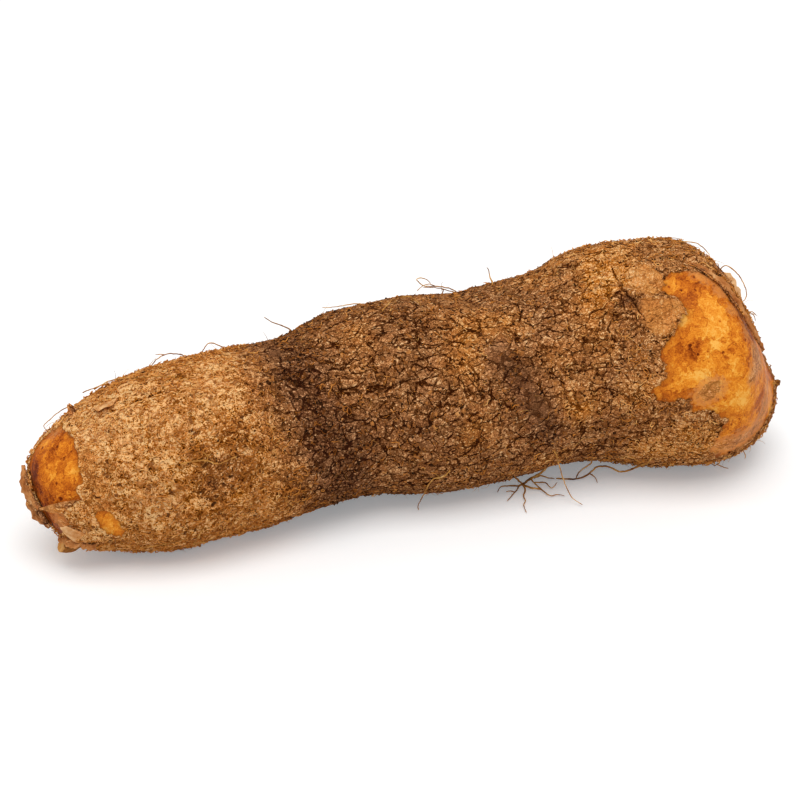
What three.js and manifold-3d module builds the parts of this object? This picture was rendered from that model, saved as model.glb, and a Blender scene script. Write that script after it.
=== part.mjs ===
// A yam tuber lying on its side, with its cut vine stub, torn bark flaps and feeder roots.
// Millimetres, +Z up, the floor at z = 0. The tuber runs along X, from the crown (-X) to the head (+X).
import * as THREE from "three";
import { ImprovedNoise } from "three/addons/math/ImprovedNoise.js";
import { mergeVertices } from "three/addons/utils/BufferGeometryUtils.js";
import Module from "manifold-3d";

const wasm = await Module();
wasm.setup();

// ---------------------------------------------------------------- driving dimensions

// Stations along the tuber: x, the centre's y and z, and the radius of the section there.
const STATIONS = [
  { x: -173, y: -3, z: 37, r: 0 }, // crown pole
  { x: -170.5, y: -4, z: 36.5, r: 11.5 },
  { x: -160, y: -6, z: 35, r: 23.5 },
  { x: -140, y: -2, z: 36, r: 33 },
  { x: -112, y: -3, z: 38, r: 39 }, // first lobe
  { x: -80, y: 0, z: 38.5, r: 39.5 },
  { x: -52, y: 3, z: 40.5, r: 38.5 }, // first neck
  { x: -28, y: 8, z: 42.5, r: 41.5 },
  { x: 0, y: 5, z: 43, r: 44 }, // middle lobe
  { x: 30, y: 3, z: 42.5, r: 43.5 },
  { x: 58, y: 2, z: 46, r: 43.5 }, // second neck
  { x: 84, y: 1, z: 50, r: 48.5 },
  { x: 108, y: -8, z: 50.5, r: 51.5 }, // head lobe
  { x: 130, y: -13, z: 50, r: 51 },
  { x: 147, y: -13, z: 39.5, r: 38 },
  { x: 160, y: -15, z: 29, r: 20.5 },
  { x: 167, y: -15, z: 27.5, r: 11 },
  { x: 169.5, y: -15, z: 28, r: 0 }, // head pole
];

const RINGS = 62; // between the two poles
const SIDES = 52;
const LUMP_HEIGHT = 1.2; // swell of the bark's low lumps
const LUMP_LENGTH = 34; // size of one lump
const THIN_RADIUS = 12; // below this a lump isn't let grow in proportion, which keeps the poles round
const ARC_PARTS = 800; // how finely the even steps along the tuber are measured
const GAP = 0.3; // between the tuber and what grows out of it

// The cut end of the vine stub, and its way under the crown.
const STUB_PATH = [[-163.5, -16.5, 11.5], [-159, -14.5, 9.3], [-153, -12, 10.5]];
const STUB_RADIUS = 2.2;
const STUB_SIDES = 12;
const STUB_STEP = 1.5; // along the stub

// Torn bark: each flap is a thin sheet between the line where it holds and its free edge.
const FLAP_THICKNESS = 0.9;
const FLAP_LIFT = 0.4; // how far a sheet stands off the two lines it is drawn between
const FLAP_ALONG = 10; // strips along a flap
const FLAP_ACROSS = 4; // strips from the held line to the free edge
const FLAP_NEAR = 0.02; // share of a flap's length over which its direction is measured
const FLAPS = {
  crown_rim_flap: {
    bulge: 0.8,
    held: [
      [-173, 2.5, 42.5], [-173.2, -4.5, 40], [-173, -9, 37], [-172, -12, 33.5], [-170.7, -15.3, 30.6],
    ],
    free: [
      [-173.2, 3.5, 41.5], [-174.6, 1, 38], [-175.4, -2.5, 36], [-174.3, -5, 31.5], [-171.4, -13, 29.5],
    ],
  },
  crown_lower_flap: {
    bulge: 1,
    held: [[-172.6, -3.5, 30.5], [-171.4, -10.6, 29.5], [-169.5, -14.7, 27], [-166.8, -14.5, 20.5]],
    free: [[-175, -3, 29.5], [-174.2, -5, 26.5], [-171.6, -9.5, 22.5], [-167.8, -12.5, 18.5]],
  },
  crown_tongue_flap: {
    bulge: 0.6,
    held: [[-157.2, -30, 40.5], [-163, -25.8, 33]],
    free: [[-170, -19, 35], [-169.8, -18, 30]],
  },
  crown_corner_flap: {
    bulge: 0.8,
    held: [[-155.5, -29, 23], [-157.2, -25.6, 17.7]],
    free: [[-162.5, -29, 30], [-165, -24.5, 23.5]],
  },
  crown_base_flap: {
    bulge: 0.5,
    held: [[-163.3, -16, 17], [-161.5, -18.5, 17.4], [-159, -20.5, 18]],
    free: [[-165.4, -17, 15.2], [-162.8, -20.6, 15], [-160.6, -23.4, 15.4]],
  },
  crown_base_chip: {
    bulge: 0.3,
    held: [[-150.5, -26.4, 16.8], [-149.3, -21, 11.5]],
    free: [[-154.8, -23.5, 11.8], [-152.3, -19.5, 8.4]],
  },
  crown_tip_flap: {
    bulge: 0.5,
    held: [[-151.8, 1.5, 62], [-147.8, 4.5, 63]],
    free: [[-152.8, 4.8, 67.4], [-151.3, 5.8, 66.6]],
  },
  crown_crack_flake: {
    bulge: 0.6,
    held: [[-143, -3.5, 67], [-138.4, -4.2, 69], [-133, -6, 71.2]],
    free: [[-144.5, -8, 67.6], [-140.3, -10, 69.3], [-134, -11, 71.8]],
  },
  head_rim_flap: {
    bulge: 0.6,
    held: [
      [117.6, -25.9, 101.7], [121.6, -31.3, 100.2], [127.2, -39.2, 95.4], [129.4, -43.2, 91.6],
      [132.5, -48.4, 85.8], [136.8, -50.7, 77.2], [144.5, -48.8, 65.7],
    ],
    free: [
      [118.3, -24.8, 102.4], [123, -29.5, 101.3], [129.4, -38, 96], [131.6, -42, 92], [134.5, -47, 86],
      [139.4, -48.4, 76.6], [148.5, -45, 63.5],
    ],
  },
  head_curl: {
    bulge: -0.5,
    held: [[136.5, -22.5, 92.5], [139.6, -28, 86.5], [141.2, -31, 82]],
    free: [[137.8, -21, 93.8], [141.4, -26, 89], [143, -30.4, 83.8]],
  },
};

// Roots: each is one or more tapered branches, from where it springs to its tip.
const ROOTS = {
  root_fan: [
    {
      radii: [0.65, 0.55],
      points: [
        [60, -12, 9], [57, -17, 6.6], [54, -17, 4.2], [50, -17, 2.6], [45.3, -18.7, 1.7],
        [42.6, -19.4, 1.4],
      ],
    },
    { radii: [0.5, 0.45], points: [[36, -24, 13], [40.7, -21.4, 7], [42.9, -19.8, 4], [44.8, -19, 2]] },
    {
      radii: [0.45, 0.25],
      points: [[42.9, -19.4, 1.4], [38.6, -17.8, 1.4], [34.6, -18.4, 2], [31.9, -21.3, 1.2]],
    },
    {
      radii: [0.45, 0.25],
      points: [[42.9, -19.4, 1.4], [41.5, -21.4, 1.2], [39.2, -23.6, 1], [33.4, -28.8, 0.6]],
    },
    { radii: [0.35, 0.25], points: [[39.4, -23.3, 1], [37.4, -21.6, 1.2], [35.7, -21.7, 1]] },
    {
      radii: [0.5, 0.3],
      points: [
        [45, -18.9, 1.7], [44.4, -23.2, 1.4], [41.8, -27.8, 1.2], [40.8, -32.2, 1.1], [38.8, -35, 1],
        [37.8, -40.9, 0.6],
      ],
    },
    {
      radii: [0.5, 0.3],
      points: [
        [44.8, -19, 1.7], [47.4, -23, 1.4], [50.6, -24.5, 1.2], [51.8, -26.7, 1.1], [52.9, -31.3, 1],
        [56.7, -31.7, 0.9], [59.4, -33.3, 0.6],
      ],
    },
    { radii: [0.4, 0.4], points: [[49.8, -17.2, 2.6], [50.2, -20.6, 1.8], [51.6, -26, 1.1]] },
    {
      radii: [0.4, 0.25],
      points: [[50.1, -20, 1.9], [54.9, -21.6, 1.9], [56.1, -25.9, 1.2], [59.8, -24, 2.5]],
    },
    {
      radii: [0.4, 0.4],
      points: [[51.4, -17.2, 2.6], [55.2, -15.8, 2.3], [57.7, -16.8, 1.4], [61, -18.2, 1]],
    },
  ],
  root_runner: [
    {
      radii: [0.5, 0.45],
      points: [
        [99.5, -40, 20], [96.8, -39.6, 14.2], [95.1, -33.4, 9], [92, -29.3, 5], [88.6, -27.2, 4],
        [85.6, -23.9, 5], [83.4, -21.9, 5], [80.5, -20.2, 4], [75.3, -22, 2], [69.8, -21.8, 1],
        [64.8, -19.8, 1], [61.5, -18.4, 1],
      ],
    },
    {
      radii: [0.35, 0.4],
      points: [[75, -26, 16], [75.9, -24.2, 9.5], [74.1, -21.6, 6], [71.7, -20.3, 3], [70, -21.6, 1.2]],
    },
    { radii: [0.35, 0.25], points: [[76.5, -21.5, 2.4], [78, -25, 1.6], [77.6, -28.2, 0.8]] },
  ],
  root_thin: [
    {
      radii: [0.4, 0.25],
      points: [
        [50, -36, 29.5], [50.9, -39.6, 27.4], [52.9, -37.8, 23.6], [54.6, -35.2, 20], [56.2, -34, 15.5],
        [57.6, -35, 10], [58.6, -38.3, 6], [60.1, -40.5, 3], [63.3, -43.9, 1],
      ],
    },
  ],
  root_single: [
    {
      radii: [0.4, 0.3],
      points: [
        [4.6, -33, 28], [3, -36, 25.9], [0.4, -34.9, 22.9], [-3, -34, 22.2], [-4.4, -32.4, 19.6],
        [-4.6, -28.6, 14.6], [-4.4, -25.6, 10.6], [-5.2, -24, 7], [-6.3, -23, 3.4], [-6.6, -24, 1.4],
      ],
    },
  ],
  root_top_loop: [
    {
      radii: [0.35, 0.25],
      points: [
        [30, 22, 79], [27.2, 23, 81.9], [20.5, 23, 84.7], [13.5, 22, 86.3], [11.1, 22, 88],
        [9.3, 22, 90.3], [11.4, 23, 90.3], [14.4, 23, 89.1], [16.2, 23, 86.9],
      ],
    },
    {
      radii: [0.25, 0.25],
      points: [[19, 22.6, 85], [15.6, 22.4, 86.9], [12.3, 22, 86.8], [9.3, 21.8, 84.6]],
    },
  ],
  root_top_spike: [
    {
      radii: [0.5, 0.25],
      points: [
        [43, 15, 82.5], [43.8, 19, 85.2], [44.8, 24, 85.2], [45, 25.7, 87.4], [44.3, 26.5, 88.8],
      ],
    },
  ],
  root_top_twig: [
    {
      radii: [0.4, 0.25],
      points: [
        [-46.5, 22, 69], [-48.3, 24, 74], [-51.3, 24, 76.5], [-54.3, 24, 78.1], [-57.6, 24, 80.2],
        [-60.4, 24, 82.8],
      ],
    },
  ],
  root_arch_left: [
    {
      radii: [0.3, 0.25],
      points: [
        [-97, 15, 71.5], [-98.5, 17, 73.7], [-100.4, 18.5, 74.2], [-104.5, 18, 75.4],
        [-106.7, 18.5, 74.8], [-110.6, 17.2, 73.8], [-112.5, 17.8, 70.8], [-113.5, 17, 68],
      ],
    },
    { radii: [0.25, 0.2], points: [[-106, 18.3, 75], [-108.3, 18.4, 75.5], [-110.8, 17.5, 76.2]] },
  ],
  root_arch_right: [
    {
      radii: [0.3, 0.25],
      points: [
        [-79, 16, 71.5], [-80.2, 18.5, 73.9], [-82.4, 18.2, 75.2], [-84.4, 20, 75.9],
        [-86.9, 19.8, 76.2], [-88.9, 21, 72.8], [-89.6, 21, 70],
      ],
    },
  ],
  root_crown_fibre: [
    {
      radii: [0.25, 0.2],
      points: [
        [-147.5, 12, 60], [-150.3, 13.4, 60.2], [-152.5, 12.4, 60.2], [-154.6, 10.6, 60.2],
        [-158.4, 9.6, 58.4], [-161.6, 9, 56.2], [-161.6, 8.5, 54.6], [-160, 7, 53],
      ],
    },
  ],
  root_head_loop: [
    {
      radii: [0.3, 0.25],
      points: [
        [137, -17, 91], [139.6, -18, 93.8], [142, -21.5, 93], [143.6, -26.3, 90.2], [144.2, -30.6, 86.2],
        [142.4, -33.4, 84.2], [139.5, -35, 83.4],
      ],
    },
  ],
  root_head_knob: [
    { radii: [1.5, 1.5], points: [[162, -28, 35.5], [164.5, -26.8, 35.1], [167.6, -25.6, 34.6]] },
  ],
  root_head_under: [
    {
      radii: [0.35, 0.25],
      points: [
        [128.5, -44, 14], [129.6, -44.6, 10], [129.8, -41.8, 7.6], [132.8, -41.3, 5.6],
        [136.1, -41.5, 4],
      ],
    },
    { radii: [0.25, 0.2], points: [[129.8, -41.8, 7.6], [129.3, -40.4, 6.2], [129, -38.3, 6]] },
  ],
};
const ROOT_SIDES = 6;
const ROOT_STEP = 2.4; // along a root

// ---------------------------------------------------------------- the tuber

const noise = new ImprovedNoise();

// Two curves share one parameter: the line of centres, and the radius that goes with it.
function tuberCurves() {
  const centre = new THREE.CatmullRomCurve3(
    STATIONS.map((s) => new THREE.Vector3(s.x, s.y, s.z)),
  );
  const girth = new THREE.CatmullRomCurve3(
    STATIONS.map((s) => new THREE.Vector3(s.x, s.r, 0)),
  );
  girth.arcLengthDivisions = ARC_PARTS;
  return { centre, girth };
}

// The height of the bark's lumps at a point of the smooth body.
function lumpAt(p) {
  const k = 1 / LUMP_LENGTH;
  const broad = noise.noise(p.x * k, p.y * k + 7.3, p.z * k + 2.9);
  const fine = noise.noise(p.x * k * 2.3 + 31, p.y * k * 2.3, p.z * k * 2.3);
  return LUMP_HEIGHT * (broad * 1.4 + fine * 0.7);
}

function tuberGeometry(grow = 0) {
  const { centre, girth } = tuberCurves();
  const points = [];
  const place = (u, angle) => {
    const t = girth.getUtoTmapping(u);
    const c = centre.getPoint(t);
    const r = Math.max(girth.getPoint(t).y, 0);
    const p = new THREE.Vector3(c.x, c.y + r * Math.cos(angle), c.z + r * Math.sin(angle));
    const swell = 1 + (lumpAt(p) + grow) / Math.max(r, THIN_RADIUS);
    p.y = c.y + (p.y - c.y) * swell;
    p.z = Math.max(c.z + (p.z - c.z) * swell, 0);
    return p;
  };
  points.push(place(0, 0));
  for (let i = 1; i <= RINGS; i++)
    for (let j = 0; j < SIDES; j++)
      points.push(place(i / (RINGS + 1), (j / SIDES) * 2 * Math.PI));
  points.push(place(1, 0));
  const faces = [];
  const at = (i, j) => 1 + (i - 1) * SIDES + (j % SIDES);
  for (let j = 0; j < SIDES; j++) {
    faces.push(0, at(1, j + 1), at(1, j));
    faces.push(points.length - 1, at(RINGS, j), at(RINGS, j + 1));
    for (let i = 1; i < RINGS; i++) {
      faces.push(at(i, j), at(i, j + 1), at(i + 1, j + 1));
      faces.push(at(i, j), at(i + 1, j + 1), at(i + 1, j));
    }
  }
  return new THREE.BufferGeometry().setFromPoints(points).setIndex(faces);
}

// ---------------------------------------------------------------- solids and their joins

// A closed body through a row of sections. Each section is a loop of the same even count of points,
// which folds flat on itself, so its two ends close in strips.
function loft(sections) {
  const count = sections[0].length;
  const last = sections.length - 1;
  const at = (i, j) => i * count + (j % count);
  const faces = [];
  for (let i = 0; i < last; i++)
    for (let j = 0; j < count; j++) {
      faces.push(at(i, j), at(i, j + 1), at(i + 1, j + 1));
      faces.push(at(i, j), at(i + 1, j + 1), at(i + 1, j));
    }
  for (let j = 0; j < count / 2 - 1; j++) {
    const k = count - 1 - j;
    faces.push(at(0, j), at(0, k), at(0, k - 1), at(0, j), at(0, k - 1), at(0, j + 1));
    faces.push(at(last, j), at(last, k - 1), at(last, k), at(last, j), at(last, j + 1), at(last, k - 1));
  }
  const geometry = new THREE.BufferGeometry().setFromPoints(sections.flat()).setIndex(faces);
  if (signedVolume(geometry) < 0) geometry.setIndex(faces.reverse());
  return geometry;
}

function signedVolume(geometry) {
  const { position } = geometry.attributes;
  const corner = (i) => new THREE.Vector3().fromBufferAttribute(position, geometry.index.getX(i));
  let sum = 0;
  for (let i = 0; i < geometry.index.count; i += 3)
    sum += corner(i).dot(corner(i + 1).cross(corner(i + 2))) / 6;
  return sum;
}

const toCurve = (points) => new THREE.CatmullRomCurve3(points.map((p) => new THREE.Vector3(...p)));

// A tapered round branch along a smooth line through its points.
function branch({ points, radii }, sides = ROOT_SIDES, step = ROOT_STEP) {
  const curve = toCurve(points);
  const steps = Math.ceil(curve.getLength() / step);
  const { normals, binormals } = curve.computeFrenetFrames(steps, false);
  const sections = [];
  for (let i = 0; i <= steps; i++) {
    const centre = curve.getPointAt(i / steps);
    const radius = THREE.MathUtils.lerp(radii[0], radii[1], i / steps);
    const ring = [];
    for (let j = 0; j < sides; j++) {
      const turn = (j / sides) * 2 * Math.PI;
      ring.push(
        centre.clone()
          .addScaledVector(normals[i], radius * Math.cos(turn))
          .addScaledVector(binormals[i], radius * Math.sin(turn)),
      );
    }
    sections.push(ring);
  }
  return loft(sections);
}

const BODY_CENTRE = new THREE.Vector3(0, 0, 42); // what a flap's outer side faces away from

// A thin sheet of bark between two lines, bulged outward at the middle.
function flap({ held, free, bulge }) {
  const from = toCurve(held);
  const to = toCurve(free);
  const point = (u, v) => from.getPoint(u).lerp(to.getPoint(u), v);
  const sections = [];
  for (let i = 0; i <= FLAP_ALONG; i++) {
    const upper = [];
    const lower = [];
    for (let j = 0; j <= FLAP_ACROSS; j++) {
      const u = i / FLAP_ALONG;
      const v = j / FLAP_ACROSS;
      const side = point(Math.min(u + FLAP_NEAR, 1), v).sub(point(Math.max(u - FLAP_NEAR, 0), v));
      const out = to.getPoint(u).sub(from.getPoint(u)).cross(side).normalize();
      const middle = point(u, v);
      if (out.dot(middle.clone().sub(BODY_CENTRE)) < 0) out.negate();
      middle.addScaledVector(out, FLAP_LIFT + bulge * Math.sin(v * Math.PI));
      upper.push(middle.clone().addScaledVector(out, FLAP_THICKNESS / 2));
      lower.push(middle.clone().addScaledVector(out, -FLAP_THICKNESS / 2));
    }
    sections.push([...upper, ...lower.reverse()]);
  }
  return loft(sections);
}

const WELD = 1e-5; // mm; corners nearer than this are one

function toManifold(geometry) {
  const welded = mergeVertices(geometry, WELD);
  return new wasm.Manifold(
    new wasm.Mesh({
      numProp: 3,
      vertProperties: Float32Array.from(welded.attributes.position.array),
      triVerts: Uint32Array.from(welded.index.array),
    }),
  );
}

function fromManifold(solid) {
  const { vertProperties, triVerts } = solid.getMesh();
  const geometry = new THREE.BufferGeometry();
  geometry.setAttribute("position", new THREE.BufferAttribute(vertProperties, 3));
  return geometry.setIndex(new THREE.BufferAttribute(triVerts, 1));
}

// The largest single body of what lies clear of the tuber.
const grownTuber = toManifold(tuberGeometry(GAP));
function clearOfTuber(solid) {
  const bodies = solid.subtract(grownTuber).decompose();
  return bodies.reduce((best, body) => (body.volume() > best.volume() ? body : best));
}

// ---------------------------------------------------------------- assembly

const bark = new THREE.MeshStandardMaterial({ color: 0x8a6038, roughness: 0.9, metalness: 0 });
const tornBark = new THREE.MeshStandardMaterial({ color: 0xa87a4c, roughness: 0.85, metalness: 0 });
const rootSkin = new THREE.MeshStandardMaterial({ color: 0x7d5530, roughness: 0.8, metalness: 0 });
const cutStem = new THREE.MeshStandardMaterial({ color: 0xb98544, roughness: 0.8, metalness: 0 });

const yam = new THREE.Group();
function addPart(name, geometry, material) {
  const mesh = new THREE.Mesh(geometry, material);
  mesh.name = name;
  yam.add(mesh);
}

addPart("tuber", tuberGeometry(), bark);
const stubShape = { points: STUB_PATH, radii: [STUB_RADIUS, STUB_RADIUS] };
const stub = toManifold(branch(stubShape, STUB_SIDES, STUB_STEP));
addPart("stem_stub", fromManifold(clearOfTuber(stub)), cutStem);
for (const [name, shape] of Object.entries(FLAPS))
  addPart(name, fromManifold(clearOfTuber(toManifold(flap(shape)))), tornBark);
for (const [name, branches] of Object.entries(ROOTS)) {
  const joined = branches.map((shape) => toManifold(branch(shape))).reduce((a, b) => a.add(b));
  addPart(name, fromManifold(clearOfTuber(joined)), rootSkin);
}

// The origin goes to the middle of the whole part's footprint, on the floor.
const middle = new THREE.Box3().setFromObject(yam).getCenter(new THREE.Vector3());
yam.position.set(-middle.x, -middle.y, 0);

export default yam;
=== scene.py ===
# A whole yam tuber on its side: cracked fibrous bark over orange flesh, with torn flaps,
# a cut vine stub, feeder roots, and the loose fibre, scale and soil that cover its skin.
import math

import bpy
import numpy as np
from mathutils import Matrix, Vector, noise
from mathutils.bvhtree import BVHTree


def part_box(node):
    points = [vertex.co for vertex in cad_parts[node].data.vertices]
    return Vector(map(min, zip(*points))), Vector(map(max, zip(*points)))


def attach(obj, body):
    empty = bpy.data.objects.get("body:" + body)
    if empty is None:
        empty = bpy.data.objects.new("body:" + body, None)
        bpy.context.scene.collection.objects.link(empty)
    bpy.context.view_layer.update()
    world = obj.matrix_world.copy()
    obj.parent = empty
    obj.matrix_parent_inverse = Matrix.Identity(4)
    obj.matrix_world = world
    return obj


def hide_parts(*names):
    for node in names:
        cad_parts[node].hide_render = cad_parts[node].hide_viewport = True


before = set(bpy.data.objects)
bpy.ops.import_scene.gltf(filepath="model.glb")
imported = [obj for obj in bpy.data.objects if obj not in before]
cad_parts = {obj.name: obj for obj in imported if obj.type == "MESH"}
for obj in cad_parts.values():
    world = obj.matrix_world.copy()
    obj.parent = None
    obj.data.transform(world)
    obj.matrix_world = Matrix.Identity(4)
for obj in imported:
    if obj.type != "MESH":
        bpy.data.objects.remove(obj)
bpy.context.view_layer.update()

MM = 0.001
SEED = 41

# The lowest corner of the tuber in the part's own millimetres, before the packing moved it.
TUBER_LOW = (-173.0, -64.56, 0.0)
ORIGIN = np.array(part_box("tuber")[0]) / MM - TUBER_LOW

# ---------------------------------------------------------------- what is where, in the part's own mm

# How pale the bark is along the tuber: x and tone, where 0 is black soil and 1 is dry tan cork.
TONE_ALONG = (
    (-173, 0.55), (-160, 0.64), (-145, 0.6), (-110, 0.56), (-84, 0.54), (-71, 0.48), (-62, 0.41),
    (-54, 0.38), (-46, 0.44), (-34, 0.53), (0, 0.56), (26, 0.55), (42, 0.54), (60, 0.59),
    (85, 0.6), (110, 0.595), (140, 0.56), (170, 0.5),
)
NECK_LEAN = 0.27  # the dark band of the first neck runs forward as it goes down

# How far the bark is frayed to fibre along the tuber: x and share, where 0 is whole scales.
FRAYED_ALONG = ((-92, 1.0), (-68, 0.0), (72, 0.0), (92, 0.3), (170, 0.3))

# Soft patches of paler (+) or darker (-) bark: x, y, z, radius, strength.
TONE_SPOTS = (
    (-139, -16, 67, 16, 0.1), (-128, -30, 60, 18, 0.1), (-90, -10, 76, 16, 0.13),
    (-92, -24, 72, 9, 0.1), (-124, -38, 50, 14, 0.02), (-89, -30, 66, 8, -0.2),
    (-99, -40, 50, 12, -0.19), (-107, -42, 37, 14, -0.12), (-60, -18, 72, 10, -0.1),
    (-58, -29, 62, 11, -0.1), (-50, -34, 38, 13, -0.08), (-31, -4, 82, 11, 0.1),
    (-38, -22, 69, 9, 0.04), (-32, -33, 46, 14, -0.06), (-14, -9, 84, 9, -0.06),
    (14, -16, 82, 12, 0.1), (8, -30, 71, 10, 0.07), (-9, -37, 46, 14, -0.07), (0, -34, 23, 16, -0.04),
    (16, -40, 45, 10, 0.06), (29, -27, 73, 9, -0.08), (34, -33, 66, 8, -0.13),
    (41, -39, 55, 8, -0.14), (45, -41, 43, 8, -0.14), (52, -41, 36, 9, -0.11), (47, -32, 18, 11, 0.1),
    (39, -14, 82, 9, 0.13), (57, -4, 89, 12, 0.0), (73, -21, 89, 10, 0.08), (83, -9, 96, 12, 0.11),
    (97, -20, 97, 12, 0.08), (88, -27, 90, 5, -0.28), (61, -42, 50, 9, 0.08),
    (80, -44, 35, 13, -0.06), (96, -53, 47, 6, -0.2), (112, -56, 31, 12, 0.13),
    (95, -44, 23, 12, 0.14), (-20, 44, 60, 20, -0.1), (20, 46, 40, 22, 0.11), (95, 40, 70, 26, 0.1),
    (-120, 34, 50, 22, 0.08), (140, 20, 70, 16, -0.11),
)

# Skin rubbed smooth and greyish: x, y, z, radius, strength.
RUBBED_SPOTS = (
    (-150, -22, 57, 8, 0.9), (-148, -29, 44, 8, 0.9), (-146, -30, 36, 7, 0.7), (-64, -2, 78, 4, 0.9),
    (29, -27, 73, 8, 0.8), (36, -35, 62, 8, 0.8), (42, -39, 50, 8, 0.7), (-136, 26, 60, 9, 0.8),
    (60, 40, 62, 12, 0.8), (120, 34, 40, 13, 0.7), (-20, 40, 20, 12, 0.6),
)

# Where the skin is gone down to the flesh: the way each patch faces, and its outline.
BARE_PATCHES = (
    ((-0.74, -0.55, 0.32), (
        (-156, -1, 60), (-154, -14, 60), (-154, -20, 56), (-154, -28, 47), (-157, -27, 45),
        (-156, -30, 40), (-163, -23, 33), (-160, -27, 28), (-163, -20, 21), (-165, -15, 17),
        (-170, -13, 31), (-172, -8, 38), (-171, -1, 44), (-166, 2, 52), (-161, 3, 56),
    )),
    ((-0.28, -0.95, -0.08), (
        (-150, -32, 35), (-145, -34, 34), (-142, -34, 30), (-139, -33, 23), (-140, -31, 20),
        (-144, -31, 21), (-148, -31, 25), (-151, -32, 31),
    )),
    ((0.45, -0.74, 0.38), (
        (106, -25, 98), (113, -26, 99), (120, -30, 99), (126, -35, 97), (129, -43, 91), (134, -46, 84),
        (142, -45, 72), (156, -31, 56), (166, -24, 37), (162, -32, 33), (155, -42, 31), (146, -49, 25),
        (137, -51, 21), (128, -53, 18), (119, -53, 22), (119, -58, 30), (122, -62, 42), (113, -61, 48),
        (107, -59, 47), (105, -58, 53), (101, -56, 53), (96, -53, 50), (90, -50, 55), (95, -52, 61),
        (97, -52, 64), (95, -48, 71), (96, -46, 74), (103, -46, 81), (109, -43, 88), (108, -38, 92),
        (102, -32, 93),
    )),
)

# Flat scales of cork that are still whole, greyer and smoother than the bark round them.
PLATES = (
    ((-0.3, -0.4, 0.87), (
        (94, -14, 98), (100, -16, 99), (104, -21, 99), (105, -26, 98), (104, -30, 95), (101, -32, 93),
        (97, -30, 92), (93, -26, 92), (92, -21, 95),
    )),
    ((-0.35, -0.63, 0.69), (
        (92, -29, 90), (97, -31, 91), (100, -34, 91), (105, -36, 92), (109, -40, 90), (108, -43, 87),
        (105, -42, 87), (103, -45, 82), (99, -45, 78), (94, -43, 79), (91, -39, 82), (90, -34, 86),
    )),
)

# A thin brown film left on the flesh, and islands of skin: x, y, z, radius, strength.
FILM_SPOTS = (
    (113, -61, 57, 6, 0.85), (110, -60, 54, 5, 0.7), (116, -62, 60, 4.5, 0.7),
    (137, -58, 62, 5.5, 1.3), (143, -51, 61, 5, 1.2), (133, -62, 60, 3.5, 0.9),
    (138, -54, 69, 3.5, 1.1), (150, -47, 47, 5, 0.7), (147, -51, 39, 7, 0.8), (144, -52, 29, 8, 0.8),
    (133, -56, 26, 8, 0.9), (124, -56, 24, 8, 1.0), (-163, -23, 27, 6, 1.0), (-159, -1, 58, 5, 0.6),
    (119, -29, 100.5, 4, 0.8), (122.5, -34, 98, 4, 0.8), (126.5, -40.5, 94, 4, 0.8),
    (130, -47, 87, 4, 0.8), (134.5, -51.5, 78, 4.5, 0.8), (141, -50.5, 67, 5, 0.8),
)

# Deeper (-) and brighter (+) flesh: x, y, z, radius, strength.
FLESH_SPOTS = (
    (119, -55, 80, 8, 0.22), (129, -56, 79, 6, 0.16), (116, -58, 71, 8, 0.27),
    (111, -59, 65, 7, 0.22), (129, -64, 49, 8, 0.24), (123, -64, 58, 8, 0.2),
    (106, -44, 85, 3.2, 0.8), (113, -33, 96, 5, -0.08), (116, -40, 93, 7, 0.06),
    (120, -59, 73, 4.5, -0.3), (109, -54, 74, 3.8, -0.5), (136, -45, 82, 6, -0.25),
    (135, -53, 76, 5, -0.25), (97, -54, 56, 9, 0.08), (102, -53, 66, 9, 0.1),
    (-171, -8, 40, 12, -0.52), (-166, -18, 26, 9, -0.3), (-156, -22, 52, 7, 0.12),
    (-146, -33, 29, 9, 0.16), (-160, 0, 56, 6, -0.15),
)

# Long splits in the bark: half width, depth, and the line each one follows.
SPLITS = (
    (0.8, 0.8, (
        (-171, 1.7, 44), (-172, -4.5, 41.8), (-172.1, -7.8, 39.2), (-171.6, -10.5, 36.3),
        (-171, -12.4, 33.4), (-169.1, -15.5, 28.5), (-167, -15.5, 23), (-165.6, -13.8, 19.6),
    )),
    (0.9, 1.8, (
        (-144, -10, 66), (-137, -11.5, 69), (-129, -12, 71.5), (-121, -12.3, 74), (-115, -12, 75),
    )),
    (0.8, 1.3, ((88, -10, 97), (88, -22, 93), (90, -30, 89), (92, -38, 83))),
    (0.45, 0.5, ((90, -34, 86), (92, -39, 82), (94.5, -39, 84), (97, -38.5, 85.5))),
    (0.6, 1.0, ((-44, -16, 73.5), (-37, -16, 74), (-34, -15, 76), (-31, -14, 77))),
    (0.6, 0.9, ((-42, -23, 67), (-36, -23.5, 67), (-33, -23, 68), (-30, -22.5, 70))),
    (0.7, 1.2, ((-27.5, -25.5, 66), (-20, -27, 66), (-14, -27, 68), (-10, -28, 69))),
    (0.6, 0.9, ((-17, -28, 64.5), (-13.5, -30, 64), (-9.5, -31, 63.5))),
    (0.6, 0.9, ((-23, -2, 84), (-18.5, -3.5, 84.5), (-11, -4, 85))),
    (0.7, 1.1, ((-11.5, -9, 84), (-5, -8.5, 84.5), (-1, -12, 83.5), (5.5, -13, 84), (12, -14.5, 83))),
    (0.55, 0.8, ((-10, -18, 79), (-3.5, -20.5, 79), (3, -21, 79), (12, -22, 78))),
    (0.55, 0.8, ((-12, 0, 86), (-4, -2, 86), (0, -8, 85))),
    (0.55, 0.8, ((-43, -31, 55), (-37, -30, 55), (-32, -30, 54))),
    (0.6, 0.9, ((-30, 34, 70), (-12, 38, 68), (8, 37, 70))),
    (0.6, 0.9, ((-8, 48, 48), (14, 47, 50), (30, 45, 47))),
    (0.6, 1.0, ((70, 36, 78), (88, 38, 80), (104, 34, 84))),
    (0.55, 0.8, ((96, 42, 52), (110, 43, 50), (124, 38, 48))),
    (0.55, 0.8, ((-132, 26, 56), (-118, 32, 56), (-104, 35, 52))),
)

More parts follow.
